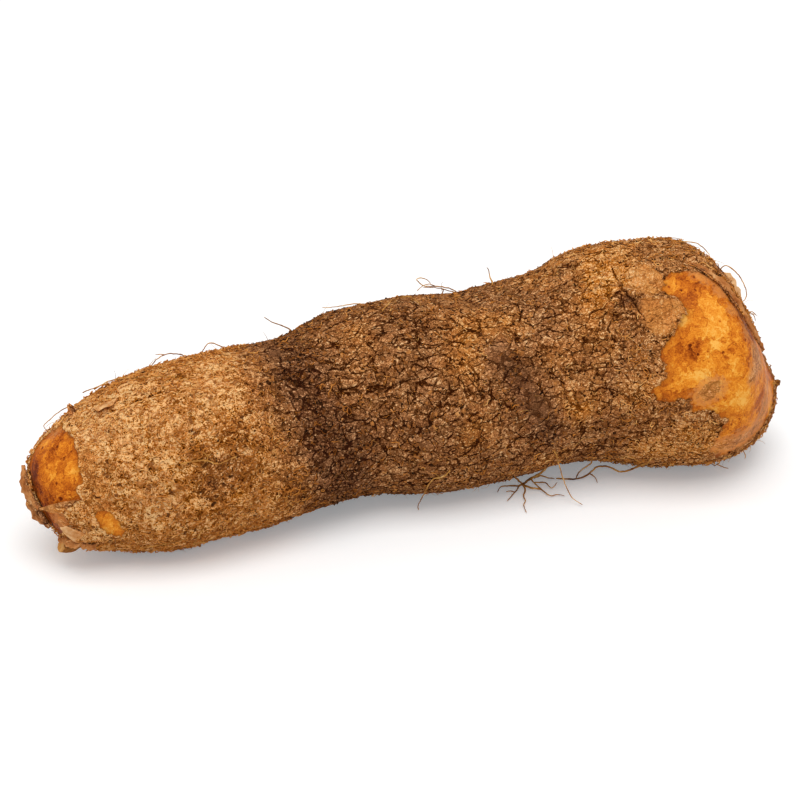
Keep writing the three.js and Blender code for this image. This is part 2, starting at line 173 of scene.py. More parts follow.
# Torn bark that the CAD model has: how far it bulges, how papery its free side is, how pale it
# is, the line where it holds, and its free edge.
FLAPS = {
    "crown_rim_flap": (
        0.6, 1.0, 0.62,
        (
            (-173, 2.5, 42.5), (-173.2, -4.5, 40), (-173, -9, 37), (-172, -12, 33.5),
            (-170.7, -15.3, 30.6),
        ),
        (
            (-173.2, 3.5, 41.5), (-174.6, 1, 38), (-175.4, -2.5, 36), (-174.3, -5, 31.5),
            (-171.4, -13, 29.5),
        ),
    ),
    "crown_lower_flap": (
        0.8, 0.6, 0.58,
        ((-172.6, -3.5, 30.5), (-171.4, -10.6, 29.5), (-169.5, -14.7, 27), (-166.8, -14.5, 20.5)),
        ((-175, -3, 29.5), (-174.2, -5, 26.5), (-171.6, -9.5, 22.5), (-167.8, -12.5, 18.5)),
    ),
    "crown_tongue_flap": (
        0.5, 0.5, 0.68,
        ((-157.2, -30, 40.5), (-163, -25.8, 33)),
        ((-170, -19, 35), (-169.8, -18, 30)),
    ),
    "crown_corner_flap": (
        0.8, 0.9, 0.8,
        ((-155.5, -29, 23), (-157.2, -25.6, 17.7)),
        ((-162.5, -29, 30), (-165, -24.5, 23.5)),
    ),
    "crown_base_flap": (
        0.3, 0.8, 0.66,
        ((-163.3, -16, 17), (-161.5, -18.5, 17.4), (-159, -20.5, 18)),
        ((-165.4, -17, 15.2), (-162.8, -20.6, 15), (-160.6, -23.4, 15.4)),
    ),
    "crown_base_chip": (
        0.3, 0.6, 0.6,
        ((-150.5, -26.4, 16.8), (-149.3, -21, 11.5)),
        ((-154.8, -23.5, 11.8), (-152.3, -19.5, 8.4)),
    ),
    "crown_tip_flap": (
        0.5, 0.5, 0.6,
        ((-151.8, 1.5, 62), (-147.8, 4.5, 63)),
        ((-152.8, 4.8, 67.4), (-151.3, 5.8, 66.6)),
    ),
    "crown_crack_flake": (
        0.4, 0.6, 0.85,
        ((-143, -3.5, 67), (-138.4, -4.2, 69), (-133, -6, 71.2)),
        ((-144.5, -8, 67.6), (-140.3, -10, 69.3), (-134, -11, 71.8)),
    ),
    "head_rim_flap": (
        0.5, 1.0, 0.62,
        (
            (117.6, -25.9, 101.7), (121.6, -31.3, 100.2), (127.2, -39.2, 95.4), (129.4, -43.2, 91.6),
            (132.5, -48.4, 85.8), (136.8, -50.7, 77.2), (144.5, -48.8, 65.7),
        ),
        (
            (118.3, -24.8, 102.4), (123, -29.5, 101.3), (129.4, -38, 96), (131.6, -42, 92),
            (134.5, -47, 86), (139.4, -48.4, 76.6), (148.5, -45, 63.5),
        ),
    ),
    "head_curl": (
        -0.5, 1.0, 0.95,
        ((136.5, -22.5, 92.5), (139.6, -28, 86.5), (141.2, -31, 82)),
        ((137.8, -21, 93.8), (141.4, -26, 89), (143, -30.4, 83.8)),
    ),
}

# Smaller leaves of torn bark, made as the flaps are.
LOOSE_LEAVES = {
    "stub_leaf": (
        0.3, 0.9, 0.72,
        ((-161.8, -22.2, 17.4), (-156.6, -25.3, 17.4)),
        ((-163.6, -23.6, 15.6), (-160, -26.2, 15.6), (-156.6, -27.6, 15.6)),
    ),
    "stub_side_leaf": (
        0.4, 0.8, 0.6,
        ((-156.4, -24.3, 16.2), (-150.3, -27, 16.6)),
        ((-156.8, -23.4, 12.6), (-153.4, -25.8, 12.8), (-149.6, -26.4, 13.2)),
    ),
    "head_back_leaf": (
        0.8, 0.2, 0.5,
        ((128, -12, 100), (135, -20, 94), (139, -27, 87)),
        ((124, -19, 102), (131, -27, 97), (136, -34, 90)),
    ),
}

# The cut vine stub, from its cut face to where it goes under the crown.
STUB_PATH = ((-163.5, -16.5, 11.5), (-159, -14.5, 9.3), (-153, -12, 10.5))
STUB_RADIUS = 2.2

# Feeder roots: each branch's radius where it starts and at its tip, and its points.
ROOTS = {
    "root_fan": (
        (0.62, 0.5, ((60, -12, 9), (57, -17, 6.6), (54, -17, 4.2), (50, -17, 2.6), (45.3, -18.7, 1.7),
                     (42.6, -19.4, 1.4))),
        (0.48, 0.4, ((36, -24, 13), (40.7, -21.4, 7), (42.9, -19.8, 4), (44.8, -19, 2))),
        (0.42, 0.16, ((42.9, -19.4, 1.4), (38.6, -17.8, 1.4), (34.6, -18.4, 2), (31.9, -21.3, 1.2))),
        (0.42, 0.16, ((42.9, -19.4, 1.4), (41.5, -21.4, 1.2), (39.2, -23.6, 1), (33.4, -28.8, 0.6))),
        (0.3, 0.16, ((39.4, -23.3, 1), (37.4, -21.6, 1.2), (35.7, -21.7, 1))),
        (0.48, 0.16, ((45, -18.9, 1.7), (44.4, -23.2, 1.4), (41.8, -27.8, 1.2), (40.8, -32.2, 1.1),
                      (38.8, -35, 1), (37.8, -40.9, 0.6))),
        (0.48, 0.16, ((44.8, -19, 1.7), (47.4, -23, 1.4), (50.6, -24.5, 1.2), (51.8, -26.7, 1.1),
                      (52.9, -31.3, 1), (56.7, -31.7, 0.9), (59.4, -33.3, 0.6))),
        (0.36, 0.3, ((49.8, -17.2, 2.6), (50.2, -20.6, 1.8), (51.6, -26, 1.1))),
        (0.36, 0.16, ((50.1, -20, 1.9), (54.9, -21.6, 1.9), (56.1, -25.9, 1.2), (59.8, -24, 2.5))),
        (0.36, 0.3, ((51.4, -17.2, 2.6), (55.2, -15.8, 2.3), (57.7, -16.8, 1.4), (61, -18.2, 1))),
    ),
    "root_runner": (
        (0.46, 0.36, ((99.5, -40, 20), (96.8, -39.6, 14.2), (95.1, -33.4, 9), (92, -29.3, 5),
                      (88.6, -27.2, 4), (85.6, -23.9, 5), (83.4, -21.9, 5), (80.5, -20.2, 4),
                      (75.3, -22, 2), (69.8, -21.8, 1), (64.8, -19.8, 1), (61.5, -18.4, 1))),
        (0.32, 0.3, ((75, -26, 16), (75.9, -24.2, 9.5), (74.1, -21.6, 6), (71.7, -20.3, 3),
                     (70, -21.6, 1.2))),
        (0.3, 0.16, ((76.5, -21.5, 2.4), (78, -25, 1.6), (77.6, -28.2, 0.8))),
    ),
    "root_thin": (
        (0.36, 0.16, ((50, -36, 29.5), (50.9, -39.6, 27.4), (52.9, -37.8, 23.6), (54.6, -35.2, 20),
                      (56.2, -34, 15.5), (57.6, -35, 10), (58.6, -38.3, 6), (60.1, -40.5, 3),
                      (63.3, -43.9, 1))),
    ),
    "root_single": (
        (0.36, 0.2, ((4.6, -33, 28), (3, -36, 25.9), (0.4, -34.9, 22.9), (-3, -34, 22.2),
                     (-4.4, -32.4, 19.6), (-4.6, -28.6, 14.6), (-4.4, -25.6, 10.6), (-5.2, -24, 7),
                     (-6.3, -23, 3.4), (-6.6, -24, 1.4))),
    ),
    "root_top_loop": (
        (0.32, 0.18, ((30, 22, 79), (27.2, 23, 81.9), (20.5, 23, 84.7), (13.5, 22, 86.3),
                      (11.1, 22, 88), (9.3, 22, 90.3), (11.4, 23, 90.3), (14.4, 23, 89.1),
                      (16.2, 23, 86.9))),
        (0.22, 0.18, ((19, 22.6, 85), (15.6, 22.4, 86.9), (12.3, 22, 86.8), (9.3, 21.8, 84.6))),
    ),
    "root_top_spike": (
        (0.46, 0.18, ((43, 15, 82.5), (43.8, 19, 85.2), (44.8, 24, 85.2), (45, 25.7, 87.4),
                      (44.3, 26.5, 88.8))),
    ),
    "root_top_twig": (
        (0.38, 0.18, ((-46.5, 22, 69), (-48.3, 24, 74), (-51.3, 24, 76.5), (-54.3, 24, 78.1),
                      (-57.6, 24, 80.2), (-60.4, 24, 82.8))),
    ),
    "root_arch_left": (
        (0.28, 0.2, ((-97, 15, 71.5), (-98.5, 17, 73.7), (-100.4, 18.5, 74.2), (-104.5, 18, 75.4),
                     (-106.7, 18.5, 74.8), (-110.6, 17.2, 73.8), (-112.5, 17.8, 70.8),
                     (-113.5, 17, 68))),
        (0.22, 0.16, ((-106, 18.3, 75), (-108.3, 18.4, 75.5), (-110.8, 17.5, 76.2))),
    ),
    "root_arch_right": (
        (0.28, 0.2, ((-79, 16, 71.5), (-80.2, 18.5, 73.9), (-82.4, 18.2, 75.2), (-84.4, 20, 75.9),
                     (-86.9, 19.8, 76.2), (-88.9, 21, 72.8), (-89.6, 21, 70))),
    ),
    "root_crown_fibre": (
        (0.24, 0.16, ((-147.5, 12, 60), (-150.3, 13.4, 60.2), (-152.5, 12.4, 60.2),
                      (-154.6, 10.6, 60.2), (-158.4, 9.6, 58.4), (-161.6, 9, 56.2),
                      (-161.6, 8.5, 54.6), (-160, 7, 53))),
    ),
    "root_head_loop": (
        (0.28, 0.2, ((137, -17, 91), (139.6, -18, 93.8), (142, -21.5, 93), (143.6, -26.3, 90.2),
                     (144.2, -30.6, 86.2), (142.4, -33.4, 84.2), (139.5, -35, 83.4))),
    ),
    "root_head_knob": (
        (1.4, 1.1, ((162, -28, 35.5), (164.5, -26.8, 35.1), (166.2, -26, 34.8))),
    ),
    "root_head_under": (
        (0.32, 0.18, ((128.5, -44, 14), (129.6, -44.6, 10), (129.8, -41.8, 7.6), (132.8, -41.3, 5.6),
                      (136.1, -41.5, 4))),
        (0.22, 0.16, ((129.8, -41.8, 7.6), (129.3, -40.4, 6.2), (129, -38.3, 6))),
    ),
}

# Single fibres that lie on the bark or stand just off it, written as the roots are.
STRAY_FIBRES = {
    "side_star": (
        (0.34, 0.24, ((-116, -39, 54), (-111, -39.5, 54.5), (-105, -40, 54), (-100, -40.5, 52),
                      (-92, -39.5, 53.5))),
        (0.28, 0.15, ((-105, -40, 54), (-108, -40.5, 52))),
        (0.28, 0.15, ((-105, -40, 54), (-104.5, -39.5, 55.5), (-106.5, -38.5, 58))),
        (0.24, 0.15, ((-104.5, -39.5, 55.5), (-102, -38.5, 57))),
    ),
    "left_lobe_long_fibre": (
        (0.3, 0.2, ((-138, 17, 64.8), (-132, 15, 68.4), (-127, 8, 72.4), (-122, 0, 75.6),
                    (-115, -4, 77), (-108, -7, 77))),
        (0.26, 0.16, ((-143, 17, 64), (-137, 15, 66.8), (-131, 14, 68.4))),
    ),
    "left_lobe_under_fibres": (
        (0.3, 0.18, ((-133, -31, 13), (-124, -35, 15), (-115, -38, 17.5))),
        (0.3, 0.2, ((-111, -34.5, 12), (-107, -37, 14), (-103.5, -38, 16))),
        (0.28, 0.15, ((-111, -34.5, 12), (-110, -39, 18), (-108, -42, 24))),
    ),
    "middle_top_fibres": (
        (0.28, 0.16, ((-14, 25, 80.8), (-18, 27, 80.6), (-26, 27.5, 80.4), (-33, 27, 81.2))),
        (0.28, 0.16, ((29, 23.5, 80), (23, 24, 82.4), (18, 24, 84.2), (12.5, 23, 85.4))),
        (0.24, 0.14, ((23, 26.5, 79), (23, 25, 81.6), (20.5, 23.6, 83.6))),
        (0.3, 0.18, ((-13, 5, 86.2), (-8, 10, 86.8), (-2, 15, 87), (4, 14.5, 86.4))),
        (0.28, 0.16, ((-3, 15, 86.4), (1.5, 10.5, 88.2), (3, 3, 88.6), (3, -4, 87.4))),
    ),
    "head_top_fibres": (
        (0.3, 0.18, ((122, -2, 101), (127.5, -8.5, 103), (130, -13, 102.5), (131.5, -18.5, 100.5))),
        (0.24, 0.14, ((112, 4, 101), (118, -1, 103.5), (125, -6, 103.6))),
    ),
    "head_under_hair": (
        (0.24, 0.14, ((138.5, -48, 17), (139.5, -49.5, 14.5), (139.8, -49, 12))),
    ),
    "head_tuft": (
        (0.3, 0.14, ((143, -34, 78), (146.5, -34, 76), (148, -34, 72.5))),
        (0.28, 0.14, ((143.5, -33, 77), (147, -32.5, 76.5), (149, -33, 74.5))),
    ),
}


# ---------------------------------------------------------------- small helpers

# The least heights over the floor in mm, for roots and scatter, torn sheets, and the skin.
FLOOR_GAP, SHEET_GAP, SKIN_GAP = 0.05, 0.1, 0.12


def in_frame(points):
    """The part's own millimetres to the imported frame's metres."""
    return (np.asarray(points, float) + ORIGIN) * MM


def in_part(points):
    """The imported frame's metres to the part's own millimetres."""
    return np.asarray(points, float) / MM - ORIGIN


def smooth_step(values, low, high):
    t = np.clip((values - low) / (high - low), 0.0, 1.0)
    return t * t * (3 - 2 * t)


def unit(vectors):
    return vectors / np.maximum(np.linalg.norm(vectors, axis=-1, keepdims=True), 1e-12)


def along(points, step):
    """Points every step mm on the smooth curve through the given ones."""
    points = np.asarray(points, float)
    ends = np.vstack([2 * points[0] - points[1], points, 2 * points[-1] - points[-2]])
    made = []
    for a, b, c, d in zip(ends, ends[1:], ends[2:], ends[3:]):
        count = max(2, int(np.linalg.norm(c - b) / step + 1))
        for t in np.arange(count) / count:
            made.append(0.5 * (2 * b + (c - a) * t + (2 * a - 5 * b + 4 * c - d) * t**2
                               + (3 * b - a - 3 * c + d) * t**3))
    made.append(points[-1])
    return np.array(made)


def field(points, size, octaves=3, offset=0.0):
    """Fractal noise from about -1 to 1, with features of that size in mm."""
    scaled = points / size + offset
    return np.array([noise.fractal(Vector(p), 1.0, 2.0, octaves) for p in scaled])


def field_vectors(points, size, octaves, offset):
    """Three noises at once, to push points about."""
    return np.stack([field(points, size, octaves, offset + shift) for shift in (0, 16, 32)], axis=1)


def spots(points, table):
    total = np.zeros(len(points))
    for x, y, z, radius, strength in table:
        away = ((points - (x, y, z)) ** 2).sum(1)
        total += strength * np.exp(-away / radius**2)
    return total


FAR_AWAY = 1e9  # mm


def across_line(points, normals, line):
    """How far each point is from the line, and on which side of it as + or -."""
    nearest, side = np.full(len(points), FAR_AWAY), np.ones(len(points))
    for a, b in zip(line, line[1:]):
        a, b = np.array(a, float), np.array(b, float)
        t = np.clip((points - a) @ (b - a) / ((b - a) @ (b - a)), 0, 1)
        away = points - a - t[:, None] * (b - a)
        distance = np.linalg.norm(away, axis=1)
        closer = distance < nearest
        turn = (np.cross(b - a, normals) * away).sum(1)
        side = np.where(closer, np.where(turn < 0, -1.0, 1.0), side)
        nearest = np.minimum(nearest, distance)
    return nearest, side


PATCH_REACH = 60  # mm; a patch lies within this of its middle, and not on a lobe behind it
FAR_OUTSIDE = -30.0  # mm; stands for a point that is nowhere near a patch


def inside_patch(points, normals, facing, outline):
    """How far inside the outline each point lies, seen the way the patch faces, negative outside."""
    facing = unit(np.array(facing, float))
    side = unit(np.cross((0, 0, 1.0), facing))
    flat = np.stack([side, np.cross(facing, side)])
    place = points @ flat.T
    outline = np.array(outline, float)
    corners = outline @ flat.T
    nearest = np.full(len(points), FAR_AWAY)
    within = np.zeros(len(points), bool)
    for a, b in zip(corners, np.roll(corners, -1, 0)):
        t = np.clip((place - a) @ (b - a) / ((b - a) @ (b - a)), 0, 1)
        nearest = np.minimum(nearest, np.linalg.norm(place - a - t[:, None] * (b - a), axis=1))
        spans = (a[1] > place[:, 1]) != (b[1] > place[:, 1])
        rise = np.where(b[1] == a[1], 1e-9, b[1] - a[1])
        within ^= spans & (place[:, 0] < (b[0] - a[0]) * (place[:, 1] - a[1]) / rise + a[0])
    depth = np.where(within, nearest, -nearest)
    faces_it = (normals @ facing > 0.05) & (np.abs((points - outline.mean(0)) @ facing) < PATCH_REACH)
    return np.where(faces_it, depth, FAR_OUTSIDE)


def deepest(points, normals, patches):
    """How far inside any of the patches each point lies."""
    depth = np.full(len(points), FAR_OUTSIDE)
    for facing, outline in patches:
        depth = np.maximum(depth, inside_patch(points, normals, facing, outline))
    return depth


def added(name, data):
    """A new object in the scene."""
    piece = bpy.data.objects.new(name, data)
    bpy.context.scene.collection.objects.link(piece)
    return piece


def only(piece):
    """Selects one object and makes it active."""
    bpy.ops.object.select_all(action="DESELECT")
    piece.select_set(True)
    bpy.context.view_layer.objects.active = piece


def edit_whole(piece, *steps):
    """Runs mesh operators on the whole of an object."""
    only(piece)
    bpy.ops.object.mode_set(mode="EDIT")
    bpy.ops.mesh.select_all(action="SELECT")
    for step in steps:
        step()
    bpy.ops.object.mode_set(mode="OBJECT")


def apply_modifier(piece, kind, **settings):
    only(piece)
    modifier = piece.modifiers.new(kind.lower(), kind)
    for name, value in settings.items():
        setattr(modifier, name, value)
    bpy.ops.object.modifier_apply(modifier=modifier.name)


def join(pieces, name):
    """Several objects as one, under a new name."""
    only(pieces[0])
    for piece in pieces:
        piece.select_set(True)
    if len(pieces) > 1:
        bpy.ops.object.join()
    pieces[0].name = name
    return pieces[0]


def vertex_triples(piece, kind):
    flat = np.empty(len(piece.data.vertices) * 3, np.float32)
    piece.data.vertices.foreach_get(kind, flat)
    return flat.reshape(-1, 3).astype(float)


def coords(piece):
    return vertex_triples(piece, "co")


def vertex_normals(piece):
    return vertex_triples(piece, "normal")


def set_coords(piece, places):
    piece.data.vertices.foreach_set("co", np.asarray(places, np.float32).ravel())
    piece.data.update()


def roughen(piece, height, size, octaves, offset=0.0):
    """Pushes the surface in and out by noise that many mm high and wide; gives the new places."""
    points = in_part(coords(piece))
    points = points + vertex_normals(piece) * (height * field(points, size, octaves, offset))[:, None]
    points[:, 2] = np.maximum(points[:, 2], SHEET_GAP)
    set_coords(piece, in_frame(points))
    return points


def set_attribute(piece, name, values):
    layer = piece.data.attributes.new(name, "FLOAT", "POINT")
    layer.data.foreach_set("value", np.asarray(values, np.float32))


def finish_piece(piece, material, replaced=()):
    """Smooth faces, a finish, and a place on the body."""
    piece.data.shade_smooth()
    piece.data.materials.clear()
    piece.data.materials.append(material)
    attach(piece, "root")
    if replaced:
        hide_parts(*replaced)


# ---------------------------------------------------------------- materials

ATTRIBUTE = "ShaderNodeAttribute"
BUMP = "ShaderNodeBump"
CELLS = "ShaderNodeTexVoronoi"
MATHS = "ShaderNodeMath"
MIX = "ShaderNodeMix"
NOISE = "ShaderNodeTexNoise"
OUTPUT = "ShaderNodeOutputMaterial"
PRINCIPLED = "ShaderNodeBsdfPrincipled"
RAMP = "ShaderNodeValToRGB"
RANGE = "ShaderNodeMapRange"
VECTOR = "ShaderNodeVectorMath"
SOFTLY = {"interpolation_type": "SMOOTHSTEP"}
VALUE_A, VALUE_B, COLOUR_A, COLOUR_B = 2, 3, 6, 7  # the Mix node's sockets
AS_COLOURS = {"out": 2, "data_type": "RGBA"}  # has the Mix node mix colours


def linear(hex_colour):
    """An sRGB hex colour as linear red, green, blue and alpha."""
    parts = [int(hex_colour[i:i + 2], 16) / 255 for i in (1, 3, 5)]
    return [c / 12.92 if c <= 0.04045 else ((c + 0.055) / 1.055) ** 2.4 for c in parts] + [1.0]


def per_mm(size):
    """The texture scale at which one feature is that many millimetres."""
    return 1 / (size * MM)


def node(tree, kind, inputs=None, out=0, stops=None, **settings):
    """Adds a node with its settings and links, and gives back one of its outputs."""
    made = tree.nodes.new(kind)
    for name, value in settings.items():
        setattr(made, name, value)
    for key, value in (inputs or {}).items():
        if isinstance(value, bpy.types.NodeSocket):
            tree.links.new(value, made.inputs[key])
        else:
            made.inputs[key].default_value = value
    if stops:
        ramp = made.color_ramp.elements
        ramp[0].color, ramp[-1].color = linear(stops[0][1]), linear(stops[-1][1])
        for place, colour in stops[1:-1]:
            ramp.new(place).color = linear(colour)
    return made.outputs[out] if made.outputs else made


def new_material(name):
    material = bpy.data.materials.new(name)
    material.use_nodes = True
    material.node_tree.nodes.clear()
    return material, material.node_tree


def stirred(tree, place, size, push):
    """The place pushed about by noise, so that a pattern on it isn't regular. Both in mm."""
    stir = node(tree, NOISE, {"Vector": place, "Scale": per_mm(size), "Detail": 2.0}, out="Color")
    stir = node(tree, VECTOR, {0: stir, 1: (0.5,) * 3}, operation="SUBTRACT")
    stir = node(tree, VECTOR, {0: stir, "Scale": 2 * push * MM}, operation="SCALE")
    return node(tree, VECTOR, {0: place, 1: stir})


def away_from(tree, value, middle):
    """How far the value is from the middle, on either side of it."""
    off = node(tree, MATHS, {0: value, 1: middle}, operation="SUBTRACT")
    return node(tree, MATHS, {0: off}, operation="ABSOLUTE")


def strands_over(tree, where, spacing, width):
    """Squiggling bast strands that many mm apart and wide: 1 on a strand, 0 between them."""
    level = node(tree, NOISE, {"Vector": where, "Scale": per_mm(spacing), "Detail": 1.0,
                               "Distortion": 0.8})
    off = away_from(tree, level, 0.5)
    edge = 0.62 * width / spacing
    return node(tree, RANGE, {"Value": off, "From Min": edge, "From Max": 0.3 * edge}, **SOFTLY)


def cracks_along(tree, names):
    """Dark hairline cracks where any of the named signed distances passes nought."""
    darkest = 0.0
    for name in names:
        off = node(tree, ATTRIBUTE, out="Fac", attribute_name=name)
        off = node(tree, MATHS, {0: off}, operation="ABSOLUTE")
        dark = node(tree, RANGE, {"Value": off, "From Min": 0.38, "From Max": 0.1}, **SOFTLY)
        darkest = node(tree, MATHS, {0: dark, 1: darkest}, operation="MAXIMUM")
    return darkest


def pits_in(tree, where, spacing, radius, share):
    """Small dark pits that many mm apart, in a share of the places."""
    cells = node(tree, CELLS, {"Vector": where, "Scale": per_mm(spacing)})
    picked = node(tree, "ShaderNodeSeparateColor", {0: cells.node.outputs["Color"]}, out=1)
    picked = node(tree, MATHS, {0: picked, 1: share}, operation="LESS_THAN")
    reach = radius / spacing
    hollow = node(tree, RANGE, {"Value": cells, "From Min": 1.3 * reach, "From Max": 0.45 * reach},
                  **SOFTLY)
    return node(tree, MATHS, {0: hollow, 1: picked}, operation="MULTIPLY")


def plates_in(tree, where, size, width):
    """Plates that many mm across: the tint of each, the gaps between them, and painted highlights on
    their edges.
    """
    cells = node(tree, CELLS, {"Vector": where, "Scale": per_mm(size)})
    shade = node(tree, "ShaderNodeSeparateColor", {0: cells.node.outputs["Color"]})
    edge = node(tree, CELLS, {"Vector": where, "Scale": per_mm(size)}, feature="DISTANCE_TO_EDGE")
    share = width / size
    gap, near = (
        node(tree, RANGE, {"Value": edge, "From Min": start * share, "From Max": end * share}, **SOFTLY)
        for start, end in ((0.75, 0.25), (1.7, 0.9)))
    # A bright band just inside each gap: a painted highlight where a raised edge would catch the light.
    rim = node(tree, MATHS, {0: near, 1: gap}, operation="SUBTRACT")
    return shade, gap, rim


def weighed(tree, base, patterns):
    """The base plus each pattern less its middle, times its share."""
    middles = sum(middle * share for _, middle, share in patterns)
    total = node(tree, MATHS, {0: base, 1: middles}, operation="SUBTRACT")
    for pattern, _, share in patterns:
        total = node(tree, MATHS, {0: pattern, 1: share, 2: total}, operation="MULTIPLY_ADD")
    return total


def cork_colour(tree, level, tone, rubbed, frayed, ruddy):
    """The browns of cork at that level: golden where it is frayed or dry, dull where it is rubbed."""
    cork = node(tree, RAMP, {0: level}, stops=(
        (0.0, "#381502"), (0.12, "#4f2709"), (0.25, "#643a17"), (0.38, "#7b4d29"), (0.5, "#915e37"),
        (0.62, "#ab7346"), (0.74, "#c58a59"), (0.87, "#dea46d"), (1.0, "#f5c690")))
    straw = node(tree, RAMP, {0: level}, stops=(
        (0.0, "#3c1601"), (0.12, "#542503"), (0.25, "#6a3707"), (0.38, "#7f460d"), (0.5, "#995817"),
        (0.62, "#b66c24"), (0.74, "#d28232"), (0.87, "#eba150"), (1.0, "#fdcb8c")))
    golden = node(tree, RANGE, {"Value": tone, "From Min": 0.55, "From Max": 0.7})
    golden = node(tree, MATHS, {0: golden, 1: frayed}, operation="MAXIMUM")
    colour = node(tree, MIX, {"Factor": golden, COLOUR_A: cork, COLOUR_B: straw}, **AS_COLOURS)
    ruddy = node(tree, RANGE, {"Value": ruddy, "From Min": 0.42, "From Max": 0.66, "To Max": 0.25})
    colour = node(tree, MIX, {"Factor": ruddy, COLOUR_A: colour, COLOUR_B: linear("#f6cfae")},
                  blend_type="MULTIPLY", **AS_COLOURS)
    dull = node(tree, RANGE, {"Value": tone, "From Min": 0.48, "From Max": 0.36})
    dull = node(tree, MATHS, {0: rubbed, 1: 0.8, 2: dull}, operation="MULTIPLY_ADD", use_clamp=True)
    return node(tree, "ShaderNodeHueSaturation",
                {"Saturation": 0.95, "Value": 0.97, "Fac": dull, "Color": colour})


def bark_surface(tree, cracks=()):
    """Colour and height of cork bark, steered by the piece's tone, rubbed and frayed attributes."""
    place = node(tree, "ShaderNodeTexCoord", out="Object")
    bent = stirred(tree, place, 3.6, 1.3)
    lengthwise = node(tree, VECTOR, {0: bent, 1: (0.62, 1.0, 1.0)}, operation="MULTIPLY")
    curly = stirred(tree, place, 1.2, 0.5)
    drawn_out = node(tree, VECTOR, {0: curly, 1: (0.72, 1.0, 1.0)}, operation="MULTIPLY")
    tone, rubbed, frayed = (
        node(tree, ATTRIBUTE, out="Fac", attribute_name=name) for name in ("tone", "rubbed", "frayed"))

    # Cork cells and bast threads are 0.05 mm or finer, too fine to show, so their grain is drawn
    # at 0.5 mm, as coarse as it needs to show.
    patchy, ruddy, blotch, gaps, highlight_breaks, grain = (
        node(tree, NOISE, {"Vector": where, "Scale": per_mm(size), "Detail": detail})
        for where, size, detail in ((place, 9, 3.0), (place, 5.5, 2.0), (bent, 2.8, 2.0),
                                    (curly, 2.1, 1.0), (curly, 1.3, 1.0), (curly, 0.5, 1.0)))
    gaps = node(tree, RANGE, {"Value": gaps, "From Min": 0.47, "From Max": 0.4}, **SOFTLY)
    highlight_breaks = node(tree, RANGE, {"Value": highlight_breaks, "From Min": 0.5, "From Max": 0.6})
    opened = node(tree, RANGE, {"Value": blotch, "From Min": 0.64, "From Max": 0.46})
    # Both sizes of plate bring painted highlights along their edges: bright bands on the plates, glints
    # on the flakes.
    plates, seams, rim_highlights = plates_in(tree, lengthwise, 4.3, 0.5)
    flakes, nicks, glints = plates_in(tree, drawn_out, 1.8, 0.36)
    seams, rim_highlights, glints = (
        node(tree, MATHS, {0: pattern, 1: shown}, operation="MULTIPLY")
        for pattern, shown in ((seams, opened), (rim_highlights, highlight_breaks), (glints, highlight_breaks)))
    strands = node(tree, MATHS, {0: strands_over(tree, bent, 1.9, 0.5),
                                 1: strands_over(tree, curly, 1.5, 0.45)}, operation="MAXIMUM")
    hairlines = cracks_along(tree, cracks)

    scaly = weighed(tree, 0.0, ((grain, 0.5, 1.25), (blotch, 0.5, 0.16), (plates, 0.5, 0.18),
                                (flakes, 0.5, 0.12), (seams, 0.08, -0.37), (nicks, 0.15, -0.14),
                                (rim_highlights, 0.07, 0.26), (glints, 0.1, 0.18)))
    fibrous = weighed(tree, 0.0, ((grain, 0.5, 1.75), (blotch, 0.5, 0.55), (strands, 0.3, 0.55),
                                  (plates, 0.5, 0.24), (flakes, 0.5, 0.2), (nicks, 0.15, -0.16),
                                  (gaps, 0.25, -0.34)))
    fine = node(tree, MIX, {"Factor": frayed, VALUE_A: scaly, VALUE_B: fibrous})
    wild = node(tree, MATHS, {0: rubbed, 1: -0.7, 2: 1.0}, operation="MULTIPLY_ADD", use_clamp=True)
    level = node(tree, MATHS, {0: fine, 1: wild, 2: tone}, operation="MULTIPLY_ADD")
    level = weighed(tree, level, ((patchy, 0.5, 0.3), (frayed, 0.0, -0.05), (hairlines, 0.06, -0.5)))
    hollow = node(tree, MATHS, {0: hairlines, 1: seams}, operation="MAXIMUM")
    height = weighed(tree, 0.0, ((strands, 0.0, 0.5), (grain, 0.5, 0.45), (flakes, 0.5, 0.2),
                                 (hollow, 0.0, -0.9), (nicks, 0.0, -0.25), (gaps, 0.0, -0.45)))
    return cork_colour(tree, level, tone, rubbed, frayed, ruddy), height


